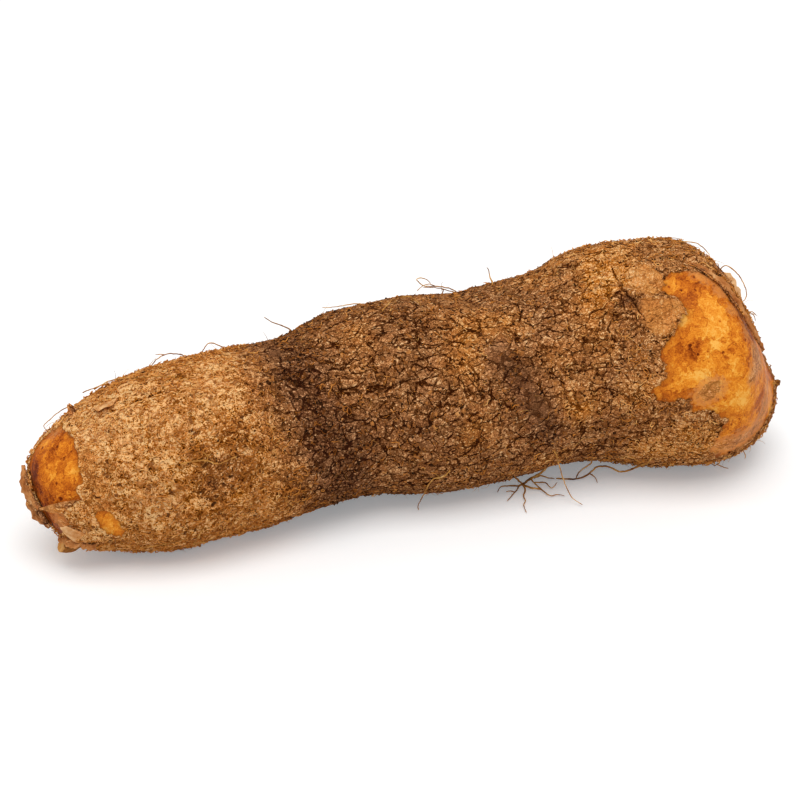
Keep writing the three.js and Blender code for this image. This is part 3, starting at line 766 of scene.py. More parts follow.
def flesh_surface(tree):
    """Colour and height of raw orange flesh that has dried in air, steered by the flesh attribute."""
    place = node(tree, "ShaderNodeTexCoord", out="Object")
    bent = stirred(tree, place, 5.0, 2.2)
    depth = node(tree, ATTRIBUTE, out="Fac", attribute_name="flesh")
    cloud, layer, shred, mottle, grain = (
        node(tree, NOISE, {"Vector": where, "Scale": per_mm(size), "Detail": fine, "Roughness": rough})
        for where, size, fine, rough in (
            (bent, 13, 3.0, 0.5), (bent, 8, 3.0, 0.5), (bent, 3.6, 2.0, 0.5), (bent, 2.4, 3.0, 0.6),
            (place, 0.55, 1.0, 0.5)))
    peeled, lip, shred = (
        node(tree, RANGE, {"Value": value, "From Min": start, "From Max": end}, **SOFTLY)
        for value, start, end in ((layer, 0.49, 0.51), (away_from(tree, layer, 0.485), 0.022, 0.008),
                                  (shred, 0.52, 0.55)))
    stains = pits_in(tree, stirred(tree, place, 1.6, 0.7), 3.4, 0.75, 0.3)
    streaks = strands_over(tree, bent, 5.0, 0.6)
    level = weighed(tree, depth, ((cloud, 0.5, 0.85), (peeled, 0.5, 0.16), (lip, 0.1, -0.07),
                                  (shred, 0.3, 0.12), (mottle, 0.5, 0.4), (grain, 0.5, 0.65),
                                  (stains, 0.05, -0.42), (streaks, 0.1, 0.12)))
    colour = node(tree, RAMP, {0: level}, stops=(
        (0.0, "#652608"), (0.16, "#95430e"), (0.34, "#ba5e18"), (0.5, "#d4761f"), (0.66, "#e88c28"),
        (0.82, "#f5a338"), (1.0, "#fcbb58")))
    height = weighed(tree, 0.0, ((mottle, 0.5, 0.8), (peeled, 0.0, 0.5), (lip, 0.0, -0.3),
                                 (shred, 0.0, 0.3), (stains, 0.0, -0.4), (grain, 0.5, 0.3)))
    return colour, height


def surfaced(material, tree, colour, roughness, height, depth, specular=0.06):
    """Ends a material with its colour, its roughness and a relief that many mm deep."""
    bump = node(tree, BUMP, {"Height": height, "Distance": depth * MM})
    shader = node(tree, PRINCIPLED, {"Base Color": colour, "Roughness": roughness, "Normal": bump,
                                     "Specular IOR Level": specular})
    node(tree, OUTPUT, {"Surface": shader})
    return material


def yam_skin():
    # Cork bark, dull and cracked with fibre in it, and where it is torn away, smooth orange flesh
    # with the soft shine of a cut root.
    material, tree = new_material("cork_bark_over_raw_yam_flesh")
    bark_colour, bark_height = bark_surface(tree, ("crack_long", "crack_cross", "split"))
    flesh_colour, flesh_height = flesh_surface(tree)
    place = node(tree, "ShaderNodeTexCoord", out="Object")
    bare, film = (node(tree, ATTRIBUTE, out="Fac", attribute_name=name) for name in ("bare", "film"))
    fray = node(tree, NOISE, {"Vector": place, "Scale": per_mm(1.6), "Detail": 3.0})
    edge = weighed(tree, bare, ((fray, 0.5, 1.9),))
    scab = weighed(tree, film, ((fray, 0.5, 1.4),))
    browned, thin, thick, rim = (
        node(tree, RANGE, {"Value": value, "From Min": start, "From Max": end, "To Max": most})
        for value, start, end, most in (
            (edge, 3.0, 0.2, 0.4), (scab, 0.25, 0.6, 0.6), (scab, 0.86, 1.05, 0.6),
            (away_from(tree, edge, 0.12), 0.5, 0.08, 0.32)))
    # The splits are drawn near black on the flesh as well: partly the real split, partly painted shade
    # in the gap under the lifted bark.
    gap = cracks_along(tree, ("split",))
    for shown, over in ((browned, linear("#a2541c")), (gap, linear("#40200c")),
                        (thin, linear("#d98f4e")), (thick, bark_colour)):
        flesh_colour = node(tree, MIX, {"Factor": shown, COLOUR_A: flesh_colour, COLOUR_B: over},
                            **AS_COLOURS)

    open_flesh = node(tree, RANGE, {"Value": edge, "From Min": -0.08, "From Max": 0.08})
    colour = node(tree, MIX, {"Factor": open_flesh, COLOUR_A: bark_colour, COLOUR_B: flesh_colour},
                  **AS_COLOURS)
    # A thin dark line along the edge of the bark: partly the oxidised edge of the torn skin, partly
    # painted shadow of the raised bark on the flesh.
    colour = node(tree, MIX, {"Factor": rim, COLOUR_A: colour, COLOUR_B: linear("#4a220c")},
                  **AS_COLOURS)
    roughness = node(tree, RANGE, {"Value": open_flesh, "To Min": 0.9, "To Max": 0.42})
    flesh_height = node(tree, MATHS, {0: flesh_height, 1: 0.35}, operation="MULTIPLY")
    height = node(tree, MIX, {"Factor": open_flesh, VALUE_A: bark_height, VALUE_B: flesh_height})
    return surfaced(material, tree, colour, roughness, height, 0.5, specular=0.03)


def torn_bark():
    # Torn cork: the same bark in thin dry sheets, with the papery tan inner side where it has curled.
    material, tree = new_material("torn_cork_bark")
    colour, height = bark_surface(tree)
    papery, tone = (
        node(tree, ATTRIBUTE, out="Fac", attribute_name=name) for name in ("papery", "tone"))
    place = node(tree, "ShaderNodeTexCoord", out="Object")
    streak = node(tree, NOISE, {"Vector": place, "Scale": per_mm(3), "Detail": 4.0, "Roughness": 0.7})
    sheet = weighed(tree, tone, ((streak, 0.5, 0.8),))
    inner = node(tree, RAMP, {0: sheet}, stops=(
        (0.0, "#4f240c"), (0.35, "#8b4c22"), (0.55, "#b26e3a"), (0.75, "#cb8c54"), (1.0, "#ebbe8a")))
    colour = node(tree, MIX, {"Factor": papery, COLOUR_A: colour, COLOUR_B: inner}, **AS_COLOURS)
    height = node(tree, MIX, {"Factor": papery, VALUE_A: height, VALUE_B: streak})
    return surfaced(material, tree, colour, 0.8, height, 0.3)


# The plain finishes: roughness, and the colours from the darkest tone to the palest.
PLAIN_FINISHES = {
    # Bast fibre teased out of the bark: dry golden threads, much paler than the cork they lie on.
    "dry_bast_fibre": (0.75, (
        (0.0, "#4a240a"), (0.3, "#854a1c"), (0.55, "#b16a28"), (0.78, "#d88d41"), (1.0, "#f8be74"))),
    # Loose scales of cork: dull chips in the browns of the bark under them.
    "loose_cork_scale": (0.9, (
        (0.0, "#1e0d04"), (0.25, "#562e10"), (0.5, "#8e562a"), (0.75, "#bf7d42"), (1.0, "#e4ab6c"))),
    # Dried soil: near black grains and dust that sit in the cracks.
    "dried_soil": (0.95, ((0.0, "#140a05"), (0.4, "#3d2412"), (0.7, "#6f4724"), (1.0, "#a8743c"))),
    # Feeder root skin: golden brown, a little waxy.
    "feeder_root_skin": (0.7, (
        (0.0, "#603514"), (0.35, "#99632e"), (0.6, "#c28942"), (0.85, "#dfab64"), (1.0, "#efc888"))),
    # Cut vine stem: a brown woody side and a pale tan-orange cut face.
    "cut_vine_stem": (0.75, ((0.0, "#5b3414"), (0.4, "#9a6330"), (0.7, "#cf8f49"), (1.0, "#eebb76"))),
}


def plain_finish(name):
    """A matt plant finish whose shade follows the piece's tone attribute, with a fine grain."""
    roughness, stops = PLAIN_FINISHES[name]
    material, tree = new_material(name)
    tone = node(tree, ATTRIBUTE, out="Fac", attribute_name="tone")
    place = node(tree, "ShaderNodeTexCoord", out="Object")
    grain = node(tree, NOISE, {"Vector": place, "Scale": per_mm(1.2), "Detail": 2.0})
    level = weighed(tree, tone, ((grain, 0.5, 0.6),))
    colour = node(tree, RAMP, {0: level}, stops=stops)
    return surfaced(material, tree, colour, roughness, grain, 0.12)


# ---------------------------------------------------------------- the tuber

VOXEL = 1.16  # mm; as fine as the skin can be at under 200,000 triangles
PEEL = 0.75  # mm from the bark's face down to the flesh
LUMPS, SCALES = 0.42, 0.34  # mm high: broad lumps, and the small scales on them
FURROW = 0.45  # mm deep, where two scales meet
PLATE_RISE, LIP_RISE = 0.3, 0.25  # mm: the whole plates, and the bark round a peeled patch


def smooth_tuber():
    """The CAD tuber merged, rounded between its facets and remeshed evenly."""
    piece = added("tuber_skin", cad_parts["tuber"].data.copy())
    edit_whole(piece, lambda: bpy.ops.mesh.remove_doubles(threshold=0.01 * MM),
               bpy.ops.mesh.tris_convert_to_quads)
    apply_modifier(piece, "SUBSURF", levels=2, render_levels=2)
    apply_modifier(piece, "REMESH", mode="VOXEL", voxel_size=VOXEL * MM)
    apply_modifier(piece, "SMOOTH", factor=0.5, iterations=3)
    return piece


def bark_tone(points, plate):
    """How pale the bark is at each point, and how far it is frayed to fibre."""
    leaned = points[:, 0] - NECK_LEAN * np.clip(77 - points[:, 2], 0, 60)
    leaned = np.where(np.abs(points[:, 0] + 60) < 40, leaned, points[:, 0])
    tone = np.interp(leaned, *zip(*TONE_ALONG)) + spots(points, TONE_SPOTS)
    # Random broad patches of tone, and darker bark in the lowest 26 mm, towards the floor.
    tone += 0.08 * field(points, 22, 3, 5.0) - 0.06 * smooth_step(points[:, 2], 26, 4)
    tone += 0.14 * smooth_step(plate, -0.2, 0.4)
    frayed = np.interp(leaned + 7 * field(points, 9, 3, 17.0), *zip(*FRAYED_ALONG))
    return np.clip(tone, 0.02, 1.0), frayed


def crack_field(points, size, run, shown, offset):
    """Signed mm to the nearest wandering crack; run times longer than wide, gone where shown is 0."""
    squeezed = points / (run, 1.0, 1.0)
    level = field(squeezed, size, 1, offset)
    step = 0.3
    rises = [field(squeezed + step * axis, size, 1, offset) - level for axis in np.eye(3)]
    slope = np.linalg.norm(np.stack(rises), axis=0) / step
    return level / np.maximum(slope, 0.5 / size) / np.maximum(shown, 0.03)


def split_lines(points, normals):
    """Depth in mm of the long splits, and the signed share of each one's half width."""
    depth, signed = np.zeros(len(points)), np.full(len(points), 9.0)
    for width, deep, line in SPLITS:
        distance, side = across_line(points, normals, line)
        depth = np.maximum(depth, deep * np.exp(-(distance / width) ** 2))
        mine = (distance < 2 * width) & (distance / width < np.abs(signed))
        signed = np.where(mine, 0.45 * side * distance / width, signed)
    return depth, signed


def scale_cracks(points, wandered, scaly):
    """Signed mm to the nearest crack along and across the tuber, fewer where it isn't scaly."""
    long_shown = scaly * smooth_step(field(points, 9, 2, 11.0), -0.15, 0.15)
    cross_shown = scaly * smooth_step(field(points, 7, 2, 27.0), -0.05, 0.2)
    return (crack_field(wandered, 6.5, 2.2, long_shown, 2.0),
            crack_field(wandered, 5.5, 0.9, cross_shown, 7.0))


def carve(piece):
    """Raises the lumps and scales, cuts the cracks, and sinks the peeled patches."""
    points, normals = in_part(coords(piece)), vertex_normals(piece)
    wandered = points + 0.9 * field_vectors(points, 2.8, 2, 1.5)
    plate = deepest(points, normals, PLATES) + 0.4 * field(points, 2.2, 2, 13.0)
    tone, frayed = bark_tone(points, plate)
    rubbed = np.clip(spots(points, RUBBED_SPOTS) + 0.35 * field(points, 14, 2, 3.0) - 0.1, 0, 1)
    on_plate = smooth_step(plate, -0.2, 0.3)
    rubbed = np.maximum(rubbed, 0.9 * on_plate)
    bare = deepest(points, normals, BARE_PATCHES) + 0.8 * field(points, 3.5, 3, 9.0)
    skin = smooth_step(bare, 0.7, -0.3)

    scaly = 0.2 + 0.8 * smooth_step(points[:, 0], -78, -56)
    scaly *= (1 - 0.7 * rubbed) * (1 - 0.9 * on_plate)
    long_cracks, cross_cracks = scale_cracks(points, wandered, scaly)
    depth, split = split_lines(wandered, normals)
    furrow = np.maximum(np.exp(-(long_cracks / 0.8) ** 2), 0.8 * np.exp(-(cross_cracks / 0.7) ** 2))

    relief = LUMPS * field(points, 8, 4) + SCALES * field(points, 2.6, 2, 21.0)
    relief = relief * (1 - 0.6 * rubbed) - FURROW * furrow - depth
    relief += PLATE_RISE * smooth_step(plate, -0.3, 0.5)
    relief = relief * skin + LIP_RISE * np.exp(-((bare + 0.7) / 0.6) ** 2)
    relief -= (1 - skin) * (PEEL - 0.28 * field(points, 6, 2, 8.0))
    moved = points + relief[:, None] * normals
    moved[:, 2] = np.maximum(moved[:, 2], SKIN_GAP)
    set_coords(piece, in_frame(moved))
    for name, values in (("tone", tone), ("rubbed", rubbed), ("bare", bare), ("frayed", frayed),
                         ("film", spots(points, FILM_SPOTS)),
                         ("flesh", 0.45 + spots(points, FLESH_SPOTS)),
                         ("crack_long", long_cracks), ("crack_cross", cross_cracks),
                         ("split", split)):
        set_attribute(piece, name, values)


# ---------------------------------------------------------------- scattered fibre, scale and soil

# Sizes are in mm. A fibre curls by that many radians from ring to ring, a scale by that many mm.
SCATTER = {
    "pale_fibres": {"count": 2700, "length": (4, 8), "radius": (0.22, 0.34), "rings": 8,
                    "curl": 0.65, "lift": 1.0, "paler": 0.2},
    "short_fibres": {"count": 3800, "length": (2, 4.4), "radius": (0.18, 0.3), "rings": 5,
                     "curl": 0.65, "lift": 0.9, "paler": 0.16},
    "bark_flecks": {"count": 9000, "length": (0.7, 2.2), "radius": (0.14, 0.24), "rings": 3,
                    "curl": 0.5, "lift": 0.5, "paler": 0.13},
    "bark_scales": {"count": 3600, "size": (0.7, 2.3), "thickness": (0.16, 0.3), "curl": (0.05, 0.5)},
    "soil_crumbs": {"count": 2600, "size": (0.2, 0.55)},
    "root_hairs": {"count": 900, "length": (1.2, 8), "radius": (0.08, 0.16), "rings": 7},
}


class Skin:
    """The finished tuber surface, for laying things on it."""

    def __init__(self, piece):
        mesh = piece.data
        mesh.calc_loop_triangles()
        self.points = in_part(coords(piece))
        self.normals = vertex_normals(piece)
        corners = np.empty(len(mesh.loop_triangles) * 3, np.int32)
        mesh.loop_triangles.foreach_get("vertices", corners)
        self.corners = corners.reshape(-1, 3)
        self.tree = BVHTree.FromPolygons(self.points.tolist(), self.corners.tolist())
        self.values = {}
        for name in ("tone", "rubbed", "bare", "split", "frayed"):
            flat = np.empty(len(mesh.vertices), np.float32)
            mesh.attributes[name].data.foreach_get("value", flat)
            self.values[name] = flat
        a, b, c = (self.points[self.corners[:, i]] for i in range(3))
        self.areas = np.linalg.norm(np.cross(b - a, c - a), axis=1) / 2

    def corner_mean(self, values):
        return values[self.corners].mean(axis=1)

    def sample(self, rng, count, weight):
        """Random points with their normals and tone, more of them where the weight is larger."""
        share = self.areas * weight
        picked = rng.choice(len(share), count, p=share / share.sum())
        u, v = rng.random((2, count))
        flip = u + v > 1
        u, v = np.where(flip, 1 - u, u), np.where(flip, 1 - v, v)
        mix = np.stack([1 - u - v, u, v], axis=1)[:, :, None]
        at = self.corners[picked]
        places = (self.points[at] * mix).sum(1)
        normals = unit((self.normals[at] * mix).sum(1))
        return places, normals, self.values["tone"][at].mean(1)

    def settle(self, places):
        """The nearest surface points, the normals there, and whether bark is there."""
        found = [self.tree.find_nearest(Vector(p)) for p in places]
        at = self.corners[[f[2] for f in found]]
        off_flesh = self.values["bare"][at].mean(1) < -0.2
        off_split = np.abs(self.values["split"][at]).min(1) > 0.35
        held, out = (np.array([f[i] for f in found]) for i in (0, 1))
        return held, out, off_flesh & off_split


def sheet_of_faces(count, template, size):
    """The template's faces repeated for each copy of size vertices."""
    made = []
    for faces in template:
        faces = np.asarray(faces)
        copies = np.arange(count)[:, None, None] * size + faces[None]
        made += copies.reshape(-1, faces.shape[1]).tolist()
    return made


def joined_piece(name, places, template, values):
    """One mesh from many copies: places is copies by vertices by 3, values one tone a copy."""
    count, size = places.shape[:2]
    flat = places.reshape(-1, 3)
    flat[:, 2] = np.maximum(flat[:, 2], FLOOR_GAP)
    mesh = bpy.data.meshes.new(name)
    mesh.from_pydata(in_frame(flat).tolist(), [], sheet_of_faces(count, template, size))
    piece = added(name, mesh)
    set_attribute(piece, "tone", np.repeat(values, size))
    return piece


def tube_template(rings, sides=3):
    """The walls of a tube of rings, and the caps on its ends."""
    last = (rings - 1) * sides
    walls = [(ring + j, ring + (j + 1) % sides, ring + sides + (j + 1) % sides, ring + sides + j)
             for ring in range(0, last, sides) for j in range(sides)]
    caps = [tuple(range(sides))[::-1], tuple(last + j for j in range(sides))]
    return walls, caps


def tubes(lines, ups, radii, sides=3):
    """Rings of vertices round many lines: lines is lines by rings by 3."""
    heading = unit(np.gradient(lines, axis=1))
    across = unit(np.cross(heading, ups))
    above = np.cross(across, heading)
    turns = np.arange(sides) / sides * 2 * math.pi + math.pi / 2
    ring = (across[:, :, None] * np.cos(turns)[:, None] + above[:, :, None] * np.sin(turns)[:, None])
    made = lines[:, :, None] + ring * radii[:, :, None, None]
    return made.reshape(len(lines), -1, 3)


def turned(vectors, axes, angles):
    """Each vector turned about its own axis."""
    c, s = np.cos(angles)[:, None], np.sin(angles)[:, None]
    kept = axes * (axes * vectors).sum(1, keepdims=True)
    return vectors * c + np.cross(axes, vectors) * s + kept * (1 - c)


def laid_fibres(skin, name, rng, weight, count, length, radius, rings, curl, lift, paler):
    """Curly strands that lie on the bark, with stretches and ends that come away from it."""
    places, normals, tone = skin.sample(rng, count, weight)
    heading = unit(np.cross(normals, rng.normal(size=(count, 3))))
    bend = rng.normal(0, curl, count)
    stride = rng.uniform(*length, count)[:, None] / (rings - 1)
    line, ups, kept = [places], [normals], np.ones(count, bool)
    for _ in range(rings - 1):
        bend = bend * 0.6 + rng.normal(0, curl, count)
        heading = turned(heading, normals, bend)
        places, normals, on_bark = skin.settle(places + heading * stride)
        heading = unit(heading - normals * (heading * normals).sum(1, keepdims=True))
        kept &= on_bark
        line.append(places)
        ups.append(normals)
    line, ups = np.stack(line, 1), np.stack(ups, 1)
    rise = lift * rng.random((count, rings)) ** 3
    taper = np.interp(np.arange(rings), (0, 1, rings - 2, rings - 1), (0.4, 1, 1, 0.3))
    thick = rng.uniform(*radius, count)[:, None] * taper[None]
    line = line + ups * (rise + thick * 0.4)[:, :, None]
    shade = np.clip(tone + paler + rng.normal(0, 0.13, count), 0, 1)
    made = tubes(line, ups, thick)
    return joined_piece(name, made[kept], tube_template(rings), shade[kept])


FLAKE_PLACES = (-0.5, 0.0, 0.5)
FLAKE_JITTER = 0.14  # mm


def flake_template():
    """A closed sheet three points by three, with its top, its underside and its rim."""
    n = len(FLAKE_PLACES)
    top = [(i * n + j, (i + 1) * n + j, (i + 1) * n + j + 1, i * n + j + 1)
           for i in range(n - 1) for j in range(n - 1)]
    under = [tuple(n * n + k for k in quad[::-1]) for quad in top]
    ring = [(0, 0), (1, 0), (2, 0), (2, 1), (2, 2), (1, 2), (0, 2), (0, 1)]
    around = [i * n + j for i, j in ring]
    rim = [(b, a, a + n * n, b + n * n) for a, b in zip(around, around[1:] + around[:1])]
    return (top + under + rim,)


def laid_flakes(skin, name, rng, weight, count, size, thickness, curl):
    """Small curled scales of cork, each a closed shell a little bent away from the bark."""
    places, normals, tone = skin.sample(rng, count, weight)
    across = unit(np.cross(normals, rng.normal(size=(count, 3))))
    ahead = np.cross(normals, across)
    u, v = np.meshgrid(FLAKE_PLACES, FLAKE_PLACES, indexing="ij")
    each = (count, len(FLAKE_PLACES) ** 2)
    u = u.ravel()[None] * rng.uniform(*size, count)[:, None] + rng.normal(0, FLAKE_JITTER, each)
    v = v.ravel()[None] * rng.uniform(*size, count)[:, None] * 0.7 + rng.normal(0, FLAKE_JITTER, each)
    rise = rng.uniform(*curl, count)[:, None] * (u / size[1] * 2) ** 2 + rng.normal(0, 0.06, each)
    thick = rng.uniform(*thickness, count)[:, None]
    shell = []
    for w in (rise + thick * 0.6, rise - thick * 0.4):
        shell.append(places[:, None] + across[:, None] * u[:, :, None] + ahead[:, None] * v[:, :, None]
                     + normals[:, None] * w[:, :, None])
    shade = np.clip(tone + rng.normal(0, 0.15, count), 0, 1)
    return joined_piece(name, np.concatenate(shell, 1), flake_template(), shade)


def crumbs(skin, name, rng, weight, count, size):
    """Grains of dry soil caught in the bark, each a knocked-about ball of twenty faces."""
    bpy.ops.object.select_all(action="DESELECT")
    bpy.ops.mesh.primitive_ico_sphere_add(subdivisions=1, radius=1.0)
    ball = bpy.context.object
    shape = coords(ball)
    faces = [tuple(p.vertices) for p in ball.data.polygons]
    bpy.data.objects.remove(ball)
    places, normals, tone = skin.sample(rng, count, weight)
    radius = rng.uniform(*size, count)
    grain = shape[None] * radius[:, None, None] * rng.uniform(0.6, 1.2, (count, len(shape), 1))
    grain = grain + (places + normals * radius[:, None] * 0.3)[:, None]
    shade = np.clip(tone * 0.7 + rng.normal(0.0, 0.16, count), 0, 1)
    return joined_piece(name, grain, (faces,), shade)


def loose_hairs(skin, name, rng, weight, count, length, radius, rings):
    """Fine root hairs that stand and droop off the bark."""
    places, normals, tone = skin.sample(rng, count, weight)
    side = unit(np.cross(normals, rng.normal(size=(count, 3))))
    heading = unit(normals * rng.uniform(0.1, 1.0, count)[:, None] + side)
    axis = unit(rng.normal(size=(count, 3)))
    bend = rng.normal(0, 0.3, count)
    shortest, longest = length
    reach = shortest + (longest - shortest) * rng.random(count) ** 3
    line = [places - normals * 0.2]
    for _ in range(rings - 1):
        heading = turned(heading, axis, bend + rng.normal(0, 0.25, count))
        heading = unit(heading + (0, 0, -0.06))
        line.append(line[-1] + heading * reach[:, None] / (rings - 1))
    line = np.stack(line, 1)
    held, out, _ = skin.settle(line[:, 1:].reshape(-1, 3))
    held, out = held.reshape(count, rings - 1, 3), out.reshape(count, rings - 1, 3)
    sunk = ((line[:, 1:] - held) * out).sum(2, keepdims=True) < 0.15
    line[:, 1:] = np.where(sunk, held + out * 0.25, line[:, 1:])
    thick = rng.uniform(*radius, count)[:, None] * np.linspace(1, 0.4, rings)[None]
    ups = np.repeat(normals[:, None], rings, 1) + 0.01
    shade = np.clip(tone + 0.05 + rng.normal(0, 0.15, count), 0, 1)
    return joined_piece(name, tubes(line, ups, thick), tube_template(rings), shade)


# ---------------------------------------------------------------- torn flaps, stub and roots

FLAP_CELL = 0.6  # mm between the points along a flap's edge
FLAP_ROWS = 12
LAYER_GAP = 0.6  # mm from one layer of a torn flap to the next


def flap_grid(name, free):
    """A flat grid with its columns as close as the free edge needs."""
    bpy.ops.object.select_all(action="DESELECT")
    length = np.linalg.norm(np.diff(along(free, 1.0), axis=0), axis=1).sum()
    columns = int(np.clip(length / FLAP_CELL, 10, 90))
    bpy.ops.mesh.primitive_grid_add(x_subdivisions=columns, y_subdivisions=FLAP_ROWS, size=1.0)
    bpy.context.object.name = name
    return bpy.context.object


def spread_along(line, shares):
    """The points that are those shares of the way along the line."""
    line = along(line, 0.4)
    steps = np.linspace(0, 1, len(line))
    return np.stack([np.interp(shares, steps, line[:, i]) for i in range(3)], 1)


def flap_layer(name, shape, layer):
    """One thin ragged sheet from the held line to the free edge, pointed at both its ends."""
    bulge, papery, pale, held, free = shape
    piece = flap_grid(name, free)
    u, v = coords(piece)[:, 0] + 0.5, coords(piece)[:, 1] + 0.5
    held, free = spread_along(held, u), spread_along(free, u)
    leaf = 0.12 + 0.88 * (1 - np.abs(2 * u - 1) ** 3) ** 0.7
    ragged = 1 + 0.36 * field(free, 2.6, 3, 4.0 + layer)
    ragged += 0.2 * field(free, 1.0, 1, 9.0 + layer)
    reach = (v * ragged * leaf * (1 - 0.16 * layer))[:, None]
    places = held * (1 - reach) + free * reach
    outward = unit(places * (0.4, 1, 1) - (0, 0, 42))
    curl = 2 * papery * np.clip(v - 0.6, 0, 1) ** 2
    arch = bulge * np.sin(v * math.pi) + curl - LAYER_GAP * layer
    places = places + outward * (arch + 0.3 * field(places, 3.0, 3, 5.0 * layer))[:, None]
    set_coords(piece, in_frame(places))
    tone = pale - 0.06 + 0.12 * v + 0.25 * field(places, 4, 3, 6.0 + layer)
    set_attribute(piece, "tone", np.clip(tone, 0, 1))
    set_attribute(piece, "rubbed", np.full(len(places), 0.2))
    start = 0.5 * (1 - papery)
    shown = papery * smooth_step(v + 0.3 * field(places, 3.5, 3, 14.0), start, start + 0.2)
    set_attribute(piece, "papery", np.clip(shown - 0.4 * layer, 0, 1))
    return piece


def torn_flap(name, shape):
    """A layered and curled sheet of bark, thin and rough at its edge."""
    piece = join([flap_layer(name, shape, layer) for layer in range(2)], name)
    apply_modifier(piece, "SOLIDIFY", thickness=0.45 * MM, offset=0.0)
    apply_modifier(piece, "SUBSURF", levels=1, render_levels=1)
    roughen(piece, 0.12, 1.3, 2, 2.0)
    return piece


def rootlet(name, branches):
    """A root with side branches: beaded tubes that thin towards their tips."""
    curve = bpy.data.curves.new(name, "CURVE")
    curve.dimensions = "3D"
    curve.bevel_depth = MM
    curve.bevel_resolution = 2
    curve.use_fill_caps = True
    for start, end, points in branches:
        line = along(points, 0.8)
        line[1:-1] += 0.22 * field_vectors(line, 1.8, 2, 0.5)[1:-1]
        radii = np.linspace(start, end, len(line)) * (1 + 0.25 * field(line, 1.5, 2, 3.0))
        radii[-1] *= 0.4
        line[:, 2] = np.maximum(line[:, 2], radii + FLOOR_GAP)
        spline = curve.splines.new("POLY")
        spline.points.add(len(line) - 1)
        for point, place, radius in zip(spline.points, in_frame(line), radii):
            point.co = (*place, 1.0)
            point.radius = radius
    only(added(name, curve))
    bpy.ops.object.convert(target="MESH")
    piece = bpy.context.object
    points = in_part(coords(piece))
    set_attribute(piece, "tone", np.clip(0.55 + 0.5 * field(points, 5, 3, 7.0), 0, 1))
    return piece


BUD_PLACE = (166.5, -25.9, 34.7)
BUD_RADIUS = 1.55
STALK_RADII = (0.75, 0.6)


def root_bud(name, stalk):
    """A round root bud on a short stalk."""
    stem = rootlet(name + "_stalk", [(*STALK_RADII, points) for _, _, points in stalk])
    bpy.ops.object.select_all(action="DESELECT")
    bpy.ops.mesh.primitive_ico_sphere_add(
        subdivisions=4, radius=BUD_RADIUS * MM, location=in_frame(BUD_PLACE))
    bud = bpy.context.object
    bpy.ops.object.transform_apply(location=True, rotation=False, scale=False)
    points = roughen(bud, 0.35, 1.1, 3, 2.0)
    set_attribute(bud, "tone", np.clip(0.22 + 0.4 * field(points, 1.0, 2), 0, 1))
    return join([bud, stem], name)


STUB_SIDES = 28


def stub_rings(line):
    """Rings of points round the stub's line, and how far along it each ring is."""
    heading = unit(np.gradient(line, axis=0))
    across = unit(np.cross(heading, (0, 0, 1.0)))
    above = np.cross(across, heading)
    turns = np.arange(STUB_SIDES) / STUB_SIDES * 2 * math.pi
    middles = [line[0] + heading[0] * 0.4, line[0] + heading[0] * 0.12, line[0]] + list(line[1:])
    shares = [0.3, 0.78, 0.98] + [1.04] * (len(line) - 1)
    steps = [0, 0, 0] + list(range(1, len(line)))
    ribs = 1 + 0.05 * np.sin(turns * 7 + 0.6) + 0.03 * np.sin(turns * 3)
    verts = []
    for middle, share, k in zip(middles, shares, steps):
        outward = across[k] * np.cos(turns)[:, None] + above[k] * np.sin(turns)[:, None]
        verts.append(middle + outward * (STUB_RADIUS * share * ribs)[:, None])
    return verts, steps


def cut_stub():
    """The vine stub: a ribbed stem with a bevelled, slightly hollow cut face."""
    verts, steps = stub_rings(along(STUB_PATH, 0.5))
    walls, caps = tube_template(len(steps), STUB_SIDES)
    mesh = bpy.data.meshes.new("vine_stub")
    mesh.from_pydata(in_frame(np.vstack(verts)).tolist(), [], walls + caps)
    piece = added("vine_stub", mesh)
    edit_whole(piece, bpy.ops.mesh.normals_make_consistent)
    cut_face = np.repeat(np.array(steps) == 0, STUB_SIDES)
    tone = np.where(cut_face, 0.8, 0.42) + 0.2 * field(in_part(coords(piece)), 1.6, 2, 5.0)
    set_attribute(piece, "tone", np.clip(tone, 0, 1))
    roughen(piece, 0.12, 1.4, 3)
    return piece


# ---------------------------------------------------------------- stage

CAMERA_TARGET = in_frame((-6.5, 0, 44.2))
CAMERA_AZIMUTH, CAMERA_ELEVATION = math.radians(-20), math.radians(28)
CAMERA_DISTANCE = 0.975
PAPER_GLOW = 2.0
LIT_FROM, LIT_FULLY = 0.8, 1.8  # m from the tuber; the paper's own light takes over in between


def add_camera():
    back = Vector((math.sin(CAMERA_AZIMUTH) * math.cos(CAMERA_ELEVATION),
                   -math.cos(CAMERA_AZIMUTH) * math.cos(CAMERA_ELEVATION), math.sin(CAMERA_ELEVATION)))
    data = bpy.data.cameras.new("camera")
    data.lens, data.sensor_width = 100, 36
    camera = added("camera", data)
    camera.location = Vector(CAMERA_TARGET) + back * CAMERA_DISTANCE
    camera.rotation_euler = back.to_track_quat("Z", "Y").to_euler()
    bpy.context.scene.camera = camera


def add_light(name, place, size, power):
    """A square softbox that faces the tuber."""
    data = bpy.data.lights.new(name, "AREA")
    data.size, data.energy = size, power
    lamp = added(name, data)
    lamp.location = place
    lamp.rotation_euler = (Vector(place) - Vector(CAMERA_TARGET)).to_track_quat("Z", "Y").to_euler()


def seen_directly(tree):
    """1 for what the camera sees itself or in a shiny or clear surface, else 0."""
    path = node(tree, "ShaderNodeLightPath").node.outputs
    seen = path["Is Camera Ray"]
    for kind in ("Is Glossy Ray", "Is Transmission Ray"):
        seen = node(tree, MATHS, {0: seen, 1: path[kind]}, operation="ADD", use_clamp=True)
    return seen


